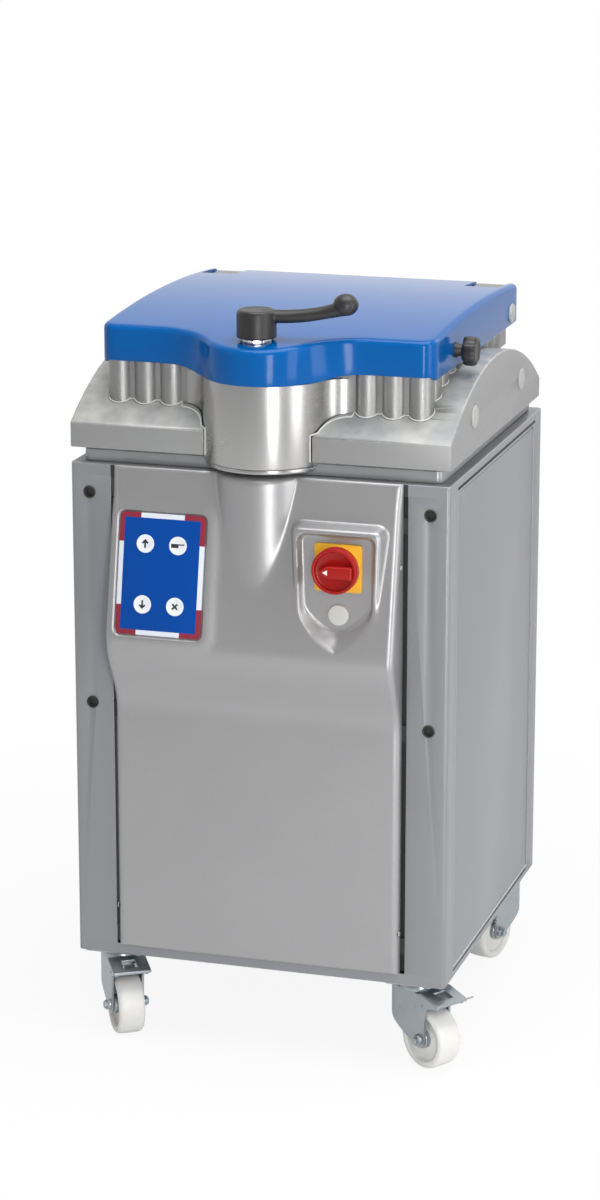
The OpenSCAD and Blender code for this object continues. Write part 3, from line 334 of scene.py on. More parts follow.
def piece_of(name, parts, materials, sharp=38.0):
    """One piece from parts (points in millimetres, faces, material number), merged and turned outwards."""
    points, faces, numbers = [], [], []
    base = 0
    for part in parts:
        part_points, part_faces = part[0], part[1]
        points.extend(np.asarray(part_points) * MM)
        faces.extend(tuple(base + i for i in face) for face in part_faces)
        numbers.extend([part[2] if len(part) > 2 else 0] * len(part_faces))
        base += len(part_points)
    mesh = bpy.data.meshes.new(name)
    mesh.from_pydata([tuple(p) for p in points], [], faces)
    for polygon, number in zip(mesh.polygons, numbers):
        polygon.material_index = number
    form = bmesh.new()
    form.from_mesh(mesh)
    bmesh.ops.remove_doubles(form, verts=form.verts, dist=MERGE)
    bmesh.ops.dissolve_degenerate(form, edges=form.edges, dist=1e-7)
    bmesh.ops.recalc_face_normals(form, faces=form.faces)
    if form.calc_volume(signed=True) < 0:
        bmesh.ops.reverse_faces(form, faces=form.faces)
    form.to_mesh(mesh)
    form.free()
    for material in materials:
        mesh.materials.append(material)
    smooth(mesh, sharp)
    return mesh_object(name, mesh)


def softened(node, name, width, material, segments=2, from_angle=32.0, pick=None, sharp=38.0):
    """A merged copy of a CAD node with its sharp edges rounded and the new faces marked as edges.

    pick takes an edge's middle in millimetres and says whether that edge is rounded.
    """
    form = bmesh.new()
    form.from_mesh(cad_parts[node].data)
    bmesh.ops.remove_doubles(form, verts=form.verts, dist=MERGE)
    bmesh.ops.dissolve_limit(form, angle_limit=math.radians(0.4), verts=form.verts, edges=form.edges)
    mark = form.faces.layers.float.new("edge")
    chosen = []
    for edge in form.edges:
        if edge.is_manifold and edge.calc_face_angle() > math.radians(from_angle):
            if pick is None or pick((edge.verts[0].co + edge.verts[1].co) * (0.5 / MM)):
                chosen.append(edge)
    if chosen:
        rounded_off = bmesh.ops.bevel(
            form, geom=chosen, offset=width * MM, offset_type="OFFSET", segments=segments, profile=0.5,
            affect="EDGES", clamp_overlap=False)
        for face in rounded_off["faces"]:
            face[mark] = 1.0
    bmesh.ops.remove_doubles(form, verts=form.verts, dist=MERGE)
    mesh = bpy.data.meshes.new(name)
    form.to_mesh(mesh)
    form.free()
    mesh.materials.clear()
    mesh.materials.append(material)
    mesh.polygons.foreach_set("material_index", [0] * len(mesh.polygons))
    smooth(mesh, sharp)
    return mesh_object(name, mesh)


def settle(piece, body, slot, *nodes):
    """The piece moves with that body and stands for these CAD nodes, which are hidden; slot is not used."""
    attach(piece, body)
    if nodes:
        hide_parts(*nodes)
    return piece


def evaluated(piece):
    """The piece with its modifiers turned into a plain mesh."""
    bpy.context.view_layer.update()
    shaped = piece.evaluated_get(bpy.context.evaluated_depsgraph_get())
    mesh = bpy.data.meshes.new_from_object(shaped)
    piece.modifiers.clear()
    piece.data = mesh
    return piece


def carve(piece, boxes):
    """Cuts boxes (low corner, high corner, in millimetres) out of a piece."""
    parts = []
    for low, high in boxes:
        corners = np.array([low[:2], (high[0], low[1]), high[:2], (low[0], high[1])])
        parts.append(loft([at_height(corners, low[2]), at_height(corners, high[2])]))
    cutter = piece_of("cutter", parts, [piece.data.materials[0]])
    cut = piece.modifiers.new("cut", "BOOLEAN")
    cut.operation = "DIFFERENCE"
    cut.solver = "EXACT"
    cut.object = cutter
    evaluated(piece)
    bpy.data.objects.remove(cutter)
    smooth(piece.data, 38.0)
    return piece


# The lid: bowed from front to rear, soft along its upper edge, with a round nose over the lock

LID_HALF, LID_REAR, LID_LOW = 272.0, 282.0, 1127.6
LID_CORNER, LID_REAR_CORNER = 24.0, 10.0
CROWN_Z, CROWN_Y, BOW = 1197.6, 10.0, 3000.0
NOSE_Y, NOSE_R, HOLLOW_R = -270.0, 95.0, 120.0
NOSE_HANG, NOSE_EASED, SIDE_HANG = 10.0, 36.0, 6.0    # how much lower the nose and the sides hang
SIDE_FROM_X, SIDE_FROM_Y = 262.0, -266.0    # the sides hang lower outside of and behind these
STRAIGHT_X = (188, 236)    # straight run of the front edge between hollow and corner
LID_WALL = 5.2
LID_RIM, LID_LIP = 9.0, 2.5    # roundings of the upper and lower edge
LUG_SLOT_X, LUG_SLOT_W, LUG_SLOT_Y, LUG_SLOT_Z = (201, -259), 58, (194, 300), (1100, 1230)


def ease(t):
    """A step from 0 to 1 that starts and ends softly."""
    t = np.clip(t, 0, 1)
    return t * t * (3 - 2 * t)


def dome_z(y):
    return CROWN_Z - BOW + np.sqrt(BOW ** 2 - (y - CROWN_Y) ** 2)


def lid_outline():
    """From the right rear corner round to the right front one; hollows lead into the nose."""
    rear_x, rear_y, front = LID_HALF - LID_REAR_CORNER, LID_REAR - LID_REAR_CORNER, LID_HALF - LID_CORNER
    hollow_y = -LID_HALF - HOLLOW_R
    hollow_x = math.sqrt((NOSE_R + HOLLOW_R) ** 2 - (NOSE_Y - hollow_y) ** 2)
    meet = math.degrees(math.atan2(NOSE_Y - hollow_y, hollow_x))
    straight = np.c_[np.linspace(*STRAIGHT_X, 4), np.full(4, -LID_HALF)]
    return np.vstack([
        arc(rear_x, rear_y, LID_REAR_CORNER, 0, 90, 8), arc(-rear_x, rear_y, LID_REAR_CORNER, 90, 180, 8),
        arc(-front, -front, LID_CORNER, 180, 270, 9), straight[::-1] * [-1, 1],
        arc(-hollow_x, hollow_y, HOLLOW_R, 90, meet, 22),
        arc(0, NOSE_Y, NOSE_R, 180 + meet, 360 - meet, 44)[1:-1],
        arc(hollow_x, hollow_y, HOLLOW_R, 180 - meet, 90, 22),
        straight, arc(front, -front, LID_CORNER, 270, 360, 9)])


def lid_piece():
    """A shell, lower at its nose and sides, with a stepped underside and slots for the hinge lugs."""
    outline = evenly(lid_outline(), 14.0)
    x, y = np.abs(outline[:, 0]), outline[:, 1]
    nose = ease((-LID_HALF - y) / NOSE_EASED)
    side = ease(np.clip((y - SIDE_FROM_Y) / 16.0, 0, 1) * np.clip((x - SIDE_FROM_X) / 9.0, 0, 1))
    low = LID_LOW - NOSE_HANG * nose - SIDE_HANG * side
    under = inset(outline, LID_WALL)
    under[:, 1] = np.maximum(under[:, 1], LID_WALL - LID_HALF)
    loops = [at_height(under, LID_LOW), np.c_[under, low]]
    for turn in np.linspace(0, math.pi / 2, 4):
        plan = inset(outline, LID_LIP * (1 - math.sin(turn)))
        loops.append(np.c_[plan, low + LID_LIP * (1 - math.cos(turn))])
    for turn in np.linspace(0, math.pi / 2, 9):
        plan = inset(outline, LID_RIM * (1 - math.cos(turn)))
        loops.append(np.c_[plan, dome_z(plan[:, 1]) - LID_RIM * (1 - math.sin(turn))])
    inner = inset(outline, LID_RIM)
    centre = np.array([0.0, -20.0])
    for share in np.linspace(1, 0.015, 28)[1:]:
        plan = centre + (inner - centre) * share
        loops.append(np.c_[plan, dome_z(plan[:, 1])])
    lid = piece_of("lid_shell", [loft(loops)], [lid_gloss], 40)
    (front, rear), (low, high) = LUG_SLOT_Y, LUG_SLOT_Z
    return carve(lid, [((x, front, low), (x + LUG_SLOT_W, rear, high)) for x in LUG_SLOT_X])


settle(lid_piece(), "lid", "lid_blue", "lid")


# The moulded front panel: a face of heights with tongue, console and keypad recess

CASING_FRONT = 311.0    # the casing's front face, counted forwards from the axis
PANEL_HALF, PANEL_FOOT, PANEL_TOP = 236.0, 168.0, 970.0
SIDE_R, FOOT_R, TOP_R, TONGUE_TOP_R = 11.0, 5.0, 7.0, 12.0
LEAN = 0.1927    # slope of the panel's upper face
FACE_OUT, FACE_UP = (0.0, -0.98193, 0.18925), (0.0, 0.18925, 0.98193)
TOP_OUT, FOOT_OUT = 6.0, 15.0    # how far the panel stands out of the casing
BELLY_RISE = 44.0    # how much further its belly does
BELLY_FROM, BELLY_TO = 575.0, 695.0    # heights between which the belly rises
KEYPAD_X, KEYPAD_Z = -148.0, 805.0
TONGUE_Y, TONGUE_R = 270.0, 81.0
BELLY_WINDOW = 45    # over how many millimetres of height the belly is smoothed
PLAIN_FROM, PLAIN_OVER = 730.0, 60.0    # above this the upper face stays plain
RIDGE, RIDGE_RISE, RIDGE_FALL = 3.8, 3.4, 26.0    # low ridge round the keypad and the width of its slopes
TONGUE_FROM, TONGUE_HALF = 690.0, 92.0
CONSOLE_X, CONSOLE_OUT, POCKET_OUT = 140.0, 356.0, 345.0
FLANK_IN, FLANK_SLOPE = 7.0, 3.86    # start of the console's flanks inside its outline, and their fall
RAMP_RISE, RAMP_TOP, RAMP_ROUNDS = 22.0, 740.0, 40    # ramp from the pocket's floor to its mouth
POCKET_LIP, LIP_WIDTH = 1.6, 2.2


def soft_max(a, b, k):
    return 0.5 * (a + b + np.sqrt((a - b) ** 2 + k * k))


def soft_min(a, b, k):
    return 0.5 * (a + b - np.sqrt((a - b) ** 2 + k * k))


def belly_profile():
    """How far the panel stands out of the casing by height, smoothed round its belly."""
    z = np.arange(100.0, 1040.0, 1.0)
    belly = FOOT_OUT + BELLY_RISE * ease((z - BELLY_FROM) / (BELLY_TO - BELLY_FROM))
    out = np.where(z >= BELLY_TO, TOP_OUT + (PANEL_TOP - z) * LEAN, belly)
    window = np.hanning(BELLY_WINDOW)
    mild = np.convolve(np.pad(out, len(window) // 2, mode="edge"), window / window.sum(), mode="valid")
    share = ease((z - PLAIN_FROM) / PLAIN_OVER)
    return z, mild * (1 - share) + out * share


BELLY_HEIGHTS, BELLY_OUT = belly_profile()


def shield(w, top, tip, r, narrow):
    """Outline of the console: round upper corners, sides that draw in, an arched point below."""
    half, low = w / 2, w / 2 - narrow
    shoulder = tip + low * 0.86
    t = np.linspace(0, 1, 16)
    right = np.c_[low * (1 - t ** 1.5) ** 0.86, shoulder + (tip - shoulder) * t]
    return np.vstack([arc(half - r, top - r, r, 0, 90, 7), arc(r - half, top - r, r, 90, 180, 7),
                      right * [-1, 1], right[::-1][1:]])


def inside_distance(points, outline):
    """Distance of points to a closed outline, positive inside it."""
    best = np.full(len(points), 1e9)
    inside = np.zeros(len(points), bool)
    for a, b in zip(outline, np.roll(outline, -1, 0)):
        run = b - a
        length = (run ** 2).sum()
        if length < 1e-12:
            continue
        t = np.clip(((points - a) @ run) / length, 0, 1)
        nearest = a + t[:, None] * run
        best = np.minimum(best, ((points - nearest) ** 2).sum(1))
        crosses = (a[1] > points[:, 1]) != (b[1] > points[:, 1])
        if abs(run[1]) > 1e-12:
            inside ^= crosses & (points[:, 0] < a[0] + (points[:, 1] - a[1]) * run[0] / run[1])
    return np.where(inside, 1, -1) * np.sqrt(best)


FRAME = shield(157, 906, 700, 18, 4)
MOUTH = shield(134, 896, 706, 16, 4)
FLOOR = shield(118, 888, 730, 12, 3)


def panel_out(x, z):
    """How far the panel's face lies in front of the axis Y = 0: belly, keypad ridge, tongue, console."""
    out = CASING_FRONT + np.interp(z, BELLY_HEIGHTS, BELLY_OUT)
    u = np.abs(x - KEYPAD_X) - (KEYPAD_W / 2 - KEYPAD_CORNER)
    v = np.abs((z - KEYPAD_Z) / FACE_UP[2]) - (KEYPAD_H / 2 - KEYPAD_CORNER)
    beside = np.hypot(np.maximum(u, 0), np.maximum(v, 0)) + np.minimum(np.maximum(u, v), 0) - KEYPAD_CORNER
    out = out + RIDGE * ease((beside - 1.0) / RIDGE_RISE) * (1 - ease((beside - 4.6) / RIDGE_FALL))
    tongue = TONGUE_Y + np.sqrt(np.maximum(TONGUE_R ** 2 - x ** 2, 0))
    out = np.where(z > TONGUE_FROM, soft_max(out, tongue, 2.4), out)
    spot = np.c_[x - CONSOLE_X, z]
    flank = FLANK_IN - inside_distance(spot, FRAME)
    raised = CONSOLE_OUT - FLANK_SLOPE * soft_max(flank, 0, 3.0)
    out = soft_max(out, raised, 3.0)
    floor_in, mouth_in = inside_distance(spot, FLOOR), inside_distance(spot, MOUTH)
    beyond = np.maximum(-floor_in, 0)
    slope = beyond / np.maximum(beyond + np.maximum(mouth_in, 0), 1e-6)
    lip = POCKET_LIP * np.exp(-(floor_in / LIP_WIDTH) ** 2)
    pocket = POCKET_OUT + RAMP_RISE * slope + lip + 6 * np.maximum(-mouth_in, 0)
    return soft_min(out, pocket, 2.0)


def eased_ramp(out, x, z, shape):
    """The face with the ramp below the console's floor rounded where its two flanks meet."""
    soft = out.reshape(shape).copy()
    for _ in range(RAMP_ROUNDS):
        beside = soft[:-2, 1:-1] + soft[2:, 1:-1] + soft[1:-1, :-2] + soft[1:-1, 2:]
        soft[1:-1, 1:-1] = 0.2 * (soft[1:-1, 1:-1] + beside)
    share = ease((RAMP_TOP - z) / 10) * ease(inside_distance(np.c_[x - CONSOLE_X, z], MOUTH) / 8)
    return out + (soft.ravel() - out) * share


def panel_piece():
    """A grid of points, denser where the face is busy, with rounded rims and a flat back."""
    short = 1 - np.sin(np.linspace(0, math.pi / 2, 8))
    side = PANEL_HALF - SIDE_R * short
    inner = PANEL_HALF - SIDE_R
    xs = np.unique(np.round(np.concatenate([-side, side, np.linspace(-inner, inner, 262)]), 4))
    zs = np.unique(np.round(np.concatenate([
        PANEL_FOOT + FOOT_R * short, np.linspace(PANEL_FOOT + FOOT_R, 552, 22), np.linspace(560, 698, 44),
        np.linspace(700, 954, 148), PANEL_TOP - TONGUE_TOP_R * short]), 4))
    x, z = (g.ravel() for g in np.meshgrid(xs, zs))
    out = eased_ramp(panel_out(x, z), x, z, (len(zs), len(xs)))
    crown = TOP_R + (TONGUE_TOP_R - TOP_R) * ease((TONGUE_HALF - np.abs(x)) / 14)
    past_rims = ((SIDE_R, np.abs(x) - inner), (crown, z - (PANEL_TOP - crown)),
                 (FOOT_R, PANEL_FOOT + FOOT_R - z))
    fall = np.maximum.reduce([
        np.minimum(r, (out - CASING_FRONT) * 0.8) * (1 - np.sqrt(1 - np.clip(past / r, 0, 1) ** 2))
        for r, past in past_rims])
    points = np.c_[x, -(out - fall), z]
    wide, tall = len(xs), len(zs)
    faces = [(j * wide + i, j * wide + i + 1, (j + 1) * wide + i + 1, (j + 1) * wide + i)
             for j in range(tall - 1) for i in range(wide - 1)]
    grid = np.arange(wide * tall).reshape(tall, wide)
    rim = np.concatenate([grid[0], grid[1:, -1], grid[-1, -2::-1], grid[-2:0:-1, 0]]).tolist()
    back = points[rim] * [1, 0, 1] + [0, -CASING_FRONT, 0]
    base = len(points)
    count = len(rim)
    for k in range(count):
        n = (k + 1) % count
        faces.append((rim[k], base + k, base + n, rim[n]))
    faces.append(tuple(base + k for k in range(count)))
    return piece_of("front_moulding", [(np.vstack([points, back]), faces)], [panel_silver], 50)


settle(panel_piece(), "cabinet", "panel_silver", "front_panel")


# Castings and sheet metal: CAD forms with softened edges

BUTT_JOINTS = (950, 166, 158, 957)    # heights where posts, side panels, deck and pan meet
BOSS_FOOT = 985
BOSS_HALF, BOSS_REAR, BOSS_RIM_REAR = 134, -257, -290
HOOD_SIDE, HOOD_FRONT, HOOD_REAR = 308, -309, 289    # edges beyond these are the hood's outer ones
GAP_X, GAP_LOW, GAP_HIGH = 238, 168, 949


def near(value, target, slack=0.3):
    return abs(value - target) < slack


def hood_rim(p):
    return abs(p.x) > HOOD_SIDE or p.y < HOOD_FRONT or p.y > HOOD_REAR


settle(softened("cowl", "hood", 2.2, cowl_paint, pick=hood_rim), "cabinet", "cowl_grey", "cowl")
settle(softened("neck_ring", "neck_band", 3.0, neck_paint_painted_light, 3), "cabinet", "casing_grey", "neck_ring")
settle(softened("boss_plate", "boss_ring", 1.2, cast_satin), "cabinet", "cast_metal", "boss_plate")


def open_edge(p):
    """Edges that show, which those at butt joints don't."""
    return not any(near(p.z, z) for z in BUTT_JOINTS)


def boss_rim(p):
    """The lower rim of the boss."""
    return near(p.z, BOSS_FOOT) and p.y < BOSS_RIM_REAR


for node, name, width in (
        ("base_pan", "bottom_pan", 1.2), ("top_deck", "deck", 1.6), ("front_posts", "corner_front", 1.0),
        ("rear_posts", "corner_rear", 1.0), ("left_side_panel", "side_left", 0.9),
        ("right_side_panel", "side_right", 0.9), ("rear_panel", "back_sheet", 0.8)):
    settle(softened(node, name, width, casing_paint, pick=open_edge), "cabinet", "casing_grey", node)


def vat_piece():
    """The casting: grainy ribs, satin boss, and a soft lower rim on the boss."""
    vat = softened("vat", "vat_casting", 3.0, cast_rough, 3, pick=boss_rim)
    vat.data.materials.append(cast_satin)
    for face in vat.data.polygons:
        at = face.center / MM
        if abs(at.x) < BOSS_HALF and at.y < BOSS_REAR:
            face.material_index = 1
    return vat


settle(vat_piece(), "cabinet", "cast_metal", "vat")


def gap_liner_and_shade():
    """Strips behind the gaps beside the moulded panel: casing grey on the left, near-black painted shade on
    the right, and near-black painted shade strips above them and along the side panels' tops.
    """
    parts = []
    for side in (-1, 1):
        strip = rounded(16, 4, 1.2, 3) + [side * GAP_X, -302.5]
        above = rounded(6.4, 1.2, 0.4, 3) + [side * (GAP_X + 1.6), -311.2]
        along_side = rounded(1.6, 526, 0.6, 3) + [side * 309.5, 0]
        parts.append((*soft_slab(strip, GAP_LOW, GAP_HIGH, 0.8, 0.8), 1 if side < 0 else 0))
        parts.append(soft_slab(above, GAP_HIGH, 968.6, 0.3, 0.3))
        parts.append(soft_slab(along_side, 952.6, 957.6, 0.4, 0.4))
    return piece_of("gap_strips", parts, [painted_gap_shade, casing_paint])


settle(gap_liner_and_shade(), "cabinet", "black_plastic")
settle(softened("castor_plates", "swivel_plates", 1.0, zinc), "cabinet", "zinc", "castor_plates")


# Keypad and keys on the leaning face

KEYPAD_AT = np.array([KEYPAD_X, -CASING_FRONT - TOP_OUT - (PANEL_TOP - KEYPAD_Z) * LEAN, KEYPAD_Z])
KEY_COLUMN, KEY_ROW = 27.0, 48.0    # how far the keys lie from the plate's middle


def flat_map(piece, origin, across, up):
    """Gives a piece a map in metres across and up from a point."""
    layer = piece.data.uv_layers.new(name="print")
    for corner in piece.data.loops:
        away = piece.data.vertices[corner.vertex_index].co - Vector(origin) * MM
        layer.data[corner.index].uv = (away.dot(Vector(across)), away.dot(Vector(up)))


def moved(part, place, number=0):
    return place(part[0]), part[1], number


def keypad_piece():
    place = stand(KEYPAD_AT, FACE_OUT, FACE_UP)
    sheet = soft_slab(rounded(KEYPAD_W, KEYPAD_H, KEYPAD_CORNER, 9), 0.1, 3.0, 0.7)
    plate = piece_of("keypad_plate", [moved(sheet, place)], [keypad_face])
    flat_map(plate, KEYPAD_AT, RIGHT, FACE_UP)
    return plate


settle(keypad_piece(), "cabinet", "keypad_blue", "keypad")

ARROW = np.array([(-1.5, -6.6), (1.5, -6.6), (1.5, 1.8), (3.6, -0.3), (5.6, 1.7), (0, 7.3), (-5.6, 1.7),
                  (-3.6, -0.3), (-1.5, 1.8)])
CLEAVER = np.array([(-11, -3.4), (1.2, -3.4), (1.2, 1.0), (10.5, 1.0), (10.5, 2.8), (-11, 2.8)])


def cross_sign():
    """Four arms, each a quarter turn on from the last, then all turned by an eighth."""
    arm = np.array([(1.5, -1.5), (6.0, -1.5), (6.0, 1.5)])
    half = math.sqrt(0.5)
    plus = np.vstack([arm, arm @ [[0, 1], [-1, 0]], -arm, arm @ [[0, -1], [1, 0]]])
    return plus @ [[half, half], [-half, half]]


def key_piece(name, column, row, sign):
    """A round key with a low rim and its sign printed slightly proud."""
    at = KEYPAD_AT + np.array([KEY_COLUMN * column, 0, 0]) + KEY_ROW * row * np.array(FACE_UP)
    place = stand(at, FACE_OUT, FACE_UP)
    disc = turned([(0, 0.9), (14.5, 0.9), (14.5, 3.5), (14.2, 4.0), (13.6, 4.2), (12.8, 4.2), (12.4, 4.0),
                   (0, 4.0)], 56)
    print_on = moved(soft_slab(sign, 3.9, 4.15), place, 1)
    return piece_of(name, [moved(disc, place), print_on], [key_white, mark_black], 30)


for node, column, row, sign in (
        ("key_up", -1, 1, ARROW), ("key_cut", 1, 1, CLEAVER),
        ("key_down", -1, -1, ARROW[::-1] * [1, -1]), ("key_stop", 1, -1, cross_sign())):
    settle(key_piece(node + "_cap", column, row, sign), node, "white_plastic", node)


# Main switch in its pocket

SWITCH_X, SWITCH_Z, PLUG_Z = 142, 838, 762
KNOB_GAP = 11.3    # from the pocket's floor to the knob's underside


def switch_plate_piece():
    place = stand((SWITCH_X, -POCKET_OUT, SWITCH_Z), FRONT, UP)
    square = soft_slab(evenly(rounded(76, 76, 5), 12), 0, 5, 1.0)
    ring = turned([(0, 4.5), (37.5, 4.5), (37.5, 10), (36.8, 10.9), (34.5, 11), (0, 11)], 64)
    return piece_of("switch_square", [moved(square, place), moved(ring, place)], [switch_yellow])


def switch_knob_piece():
    """A dished knob with a pointed grip across it and a white arrow on the grip."""
    place = stand((SWITCH_X, -POCKET_OUT - KNOB_GAP, SWITCH_Z), FRONT, UP)
    cup = turned([(0, 0), (35.8, 0), (36.5, 0.7), (36.5, 15.6), (35.6, 17.4), (33.8, 18), (31.6, 17.5),
                  (30.6, 16.2), (30.2, 12.4), (29.2, 11.8), (0, 11.8)], 72)
    bar = evenly(np.array([(-23.0, 0.0), (-11.0, -9.5), (30.5, -9.5), (30.5, 9.5), (-11.0, 9.5)]), 4)
    arrow = np.array([(-15.5, 0.0), (-8.0, -4.4), (-8.0, 4.4)])
    parts = [moved(cup, place), moved(soft_slab(bar, 11, 26, 2.0), place),
             moved(soft_slab(arrow, 25.5, 26.15), place, 1)]
    return piece_of("switch_grip", parts, [switch_red, mark_white], 42)


settle(switch_plate_piece(), "cabinet", "switch_yellow", "switch_plate")
settle(switch_knob_piece(), "main_switch", "switch_red", "switch_knob")


# Plugs and caps, turned with soft rims

def round_caps(name, places, profile, material):
    caps = [moved(turned(profile), stand(at, out, UP)) for at, out in places]
    return piece_of(name, caps, [material])


settle(round_caps("pocket_plug", [((SWITCH_X, -POCKET_OUT, PLUG_Z), FRONT)],
                  [(0, 0), (16.5, 0), (16.5, 2.2), (15.7, 3.2), (13.4, 3.6), (0, 3.9)], cap_white),
       "cabinet", "white_plastic", "panel_plug")
settle(round_caps("post_bungs", [((x, -CASING_FRONT, z), FRONT) for x in (-279, 279) for z in (575, 922)],
                  [(0, -6), (5, -6), (5, 0), (10, 0), (10, 1.2), (9.3, 1.9), (8.2, 2), (7.2, 1.4), (6.2, -3),
                   (0, -3.2)], black_plastic),
       "cabinet", "black_plastic", "post_plugs")
settle(round_caps("hood_caps", [((310 * s, y, 1050), (s, 0, 0)) for s in (-1, 1) for y in (-164, 151)],
                  [(0, -3), (8, -3), (8, 0), (18, 0), (18, 1.5), (17, 2.6), (14.5, 3), (0, 3.1)], cap_grey),
       "cabinet", "white_plastic", "cowl_caps")
settle(round_caps("hinge_caps", [((LID_HALF * s, 236, 1142.5), (s, 0, 0)) for s in (-1, 1)],
                  [(0, 0), (16, 0), (16, 2.2), (15, 3.5), (12.5, 4), (0, 4.2)], cap_grey),
       "lid", "white_plastic", "lid_caps")


# Lock lever, its collar, and the clamp knob

LOCK_Y = -313.0
LEVER_TURN = math.radians(6.7)
BAR_Z, BALL_Z, BALL_REACH = 1219.4, 1240.6, 139.0
BALL_LONG, BALL_WIDE, BALL_TALL = 19.8, 17.5, 17.2
BAR_FROM, BAR_LONG = 10.0, 130.0
BAR_RISE, RISE_FROM, RISE_OVER = 17.0, 30.0, 107.0    # how much the bar climbs, from where and over how far
BAR_SWELL, SWELL_FROM, SWELL_OVER = 3.4, 0.7, 0.3    # how much it swells, over which share of its run
LOBES, LOBE_FOOT, LOBE_RISE, STAR_POINTS = 7, 20.2, 3.8, 112
CLAMP_AT = (LID_HALF, -140, 1149.5)


def lever_piece():
    """Hub, rising bar and ball, moulded into one another."""
    hub = turned([(0, 1185.9), (30, 1185.9), (31, 1186.9), (31, 1224.5), (29.5, 1228), (26, 1229.7),
                  (22, 1229.7), (21, 1228.9), (0, 1228.9)], 64)
    hub = (hub[0] + [0, LOCK_Y, 0], hub[1])
    along = np.array([math.cos(LEVER_TURN), math.sin(LEVER_TURN), 0.0])
    side = np.array([-along[1], along[0], 0.0])
    circle = round_of(28)
    rings = []
    for t in np.linspace(0, 1, 24):
        reach = BAR_FROM + BAR_LONG * t
        rise = BAR_RISE * max(0, (reach - RISE_FROM) / RISE_OVER) ** 2.1
        centre = np.array([0, LOCK_Y, BAR_Z + rise]) + along * reach
        swell = BAR_SWELL * max(0, (t - SWELL_FROM) / SWELL_OVER) ** 1.6
        wide, tall = 12.0 - 1.6 * t + swell, 10.6 - 0.4 * t + swell
        rings.append(centre + np.outer(circle[:, 0] * wide, side) + np.outer(circle[:, 1] * tall, UP))
    arch = np.linspace(-math.pi / 2, math.pi / 2, 21)
    ball = turned(list(zip(np.cos(arch), np.sin(arch))), 36)
    at = np.array([0, LOCK_Y, BALL_Z]) + along * BALL_REACH
    ball = (at + ball[0] @ [along * BALL_LONG, side * BALL_WIDE, np.array(UP) * BALL_TALL], ball[1])
    lever = piece_of("lock_lever", [hub, loft(rings), ball], [black_plastic])
    moulded = lever.modifiers.new("moulded", "REMESH")
    moulded.mode = "VOXEL"
    moulded.voxel_size = 1.1 * MM
    eased = lever.modifiers.new("eased", "SMOOTH")
    eased.factor, eased.iterations = 0.5, 7
    evaluated(lever)
    smooth(lever.data, 60)
    return lever


def clamp_piece():
    """A lobed knob on a short neck at the lid's side."""
    lobes = LOBE_FOOT + LOBE_RISE * ((1 + np.cos(LOBES * turns_of(STAR_POINTS))) / 2) ** 1.3
    star = round_of(STAR_POINTS) * lobes[:, None]
    neck = turned([(0, 0.3), (12, 0.3), (12, 3), (10, 5), (9.4, 15.5), (0, 15.5)], 40)
    body = [at_height(star * share, h) for share, h in
            ((0.45, 13.7), (0.78, 13.7), (0.9, 14.5), (0.97, 16.8), (1.0, 21), (1.0, 29), (0.95, 33.6),
             (0.85, 35.7), (0.7, 35.7), (0.62, 34.8), (0.3, 34.6))]
    place = stand(CLAMP_AT, RIGHT, UP)
    return piece_of("clamp_grip", [moved(neck, place), moved(loft(body), place)], [black_plastic], 45)


settle(lever_piece(), "lock", "black_plastic", "lock_handle")
settle(clamp_piece(), "clamp_knob", "black_plastic", "clamp_knob")
settle(softened("lock_collar", "lock_facets", 1.2, chrome), "lid", "chrome", "lock_collar")


# Castors: pressed yokes, dished wheels, brake pedals

CASTORS = {"fl": (-256, -257, 33), "fr": (256, -257, 55), "rl": (-256, 257, -24), "rr": (256, 257, -17)}
TRAIL, AXLE_Z = 28.0, 50.0
LEG, SHEET = 27.5, 4.0    # outer face of a yoke's leg from the wheel's middle, and its thickness
HEAD_OUT = 5.2    # how far the axle's heads stand out of the legs
YOKE_TOP, HORN_TOP, EYE_R = 128.0, 124.8, 14.0
YOKE_REAR, YOKE_BEND = 53.0, 22.0
SWEEP_ONE, SWEEP_TWO = 4.0, 66.5    # how the yoke's lower edge runs forward from its rear
EDGE_REAR, EDGE_PULL, EDGE_EYE = 102.0, 64.0, 40.7    # heights that edge starts at, bends to and ends at
BEND_FROM = 0.546    # share of the lower edge at which the leg turns into the rear bend
PIN_Y, PIN_Z = -36.0, 109.0
PEDAL_Y, PEDAL_Z, PEDAL_DIP = -34.0, 132.5, math.radians(14)
PEDAL_HALF, PEDAL_LONG, PEDAL_SHEET, FOLD = 31.5, 44.0, 3.0, 2.8
PEDAL_WINDOW = ((-12, -34, -5), (12, -13, 5))


def at_castor(place):
    """Puts points of a castor's own frame, its front towards -Y, where that castor stands."""
    x, y, heading = CASTORS[place]
    turn = math.radians(heading)
    axes = np.array([[math.cos(turn), math.sin(turn), 0], [-math.sin(turn), math.cos(turn), 0], [0, 0, 1]])
    return lambda points: np.asarray(points, float) @ axes + [x, y, 0]


def castor_axes(place):
    """Axle centre and axle direction of a castor."""
    put = at_castor(place)
    at = put([0, -TRAIL, AXLE_Z])
    return at, put([1, -TRAIL, AXLE_Z]) - at


def wheel_piece(place):
    """A dished roller with a metal bush; each profile runs from the axis out to the roller's middle."""
    half = [(0, 15.0), (18.0, 14.4), (19.4, 14.0), (33, 12.8), (36.4, 14.2), (38, 18.6),
            (39.2, 21.2), (41.4, 22), (45.6, 21.6), (48, 19.8), (49.4, 16.6), (49.9, 11), (50, 0)]
    bush = [(0, 23), (13.6, 23), (15.2, 22.2), (15.8, 20.8), (15.8, 0)]
    parts = []
    at, axle = castor_axes(place)
    for number, side in enumerate((half, bush)):
        profile = [(r, -h) for r, h in side] + [(r, h) for r, h in side[-2::-1]]
        parts.append(moved(turned(profile, 72), stand(at, axle, UP), number))
    return piece_of("roller_" + place, parts, [nylon, zinc], 46)


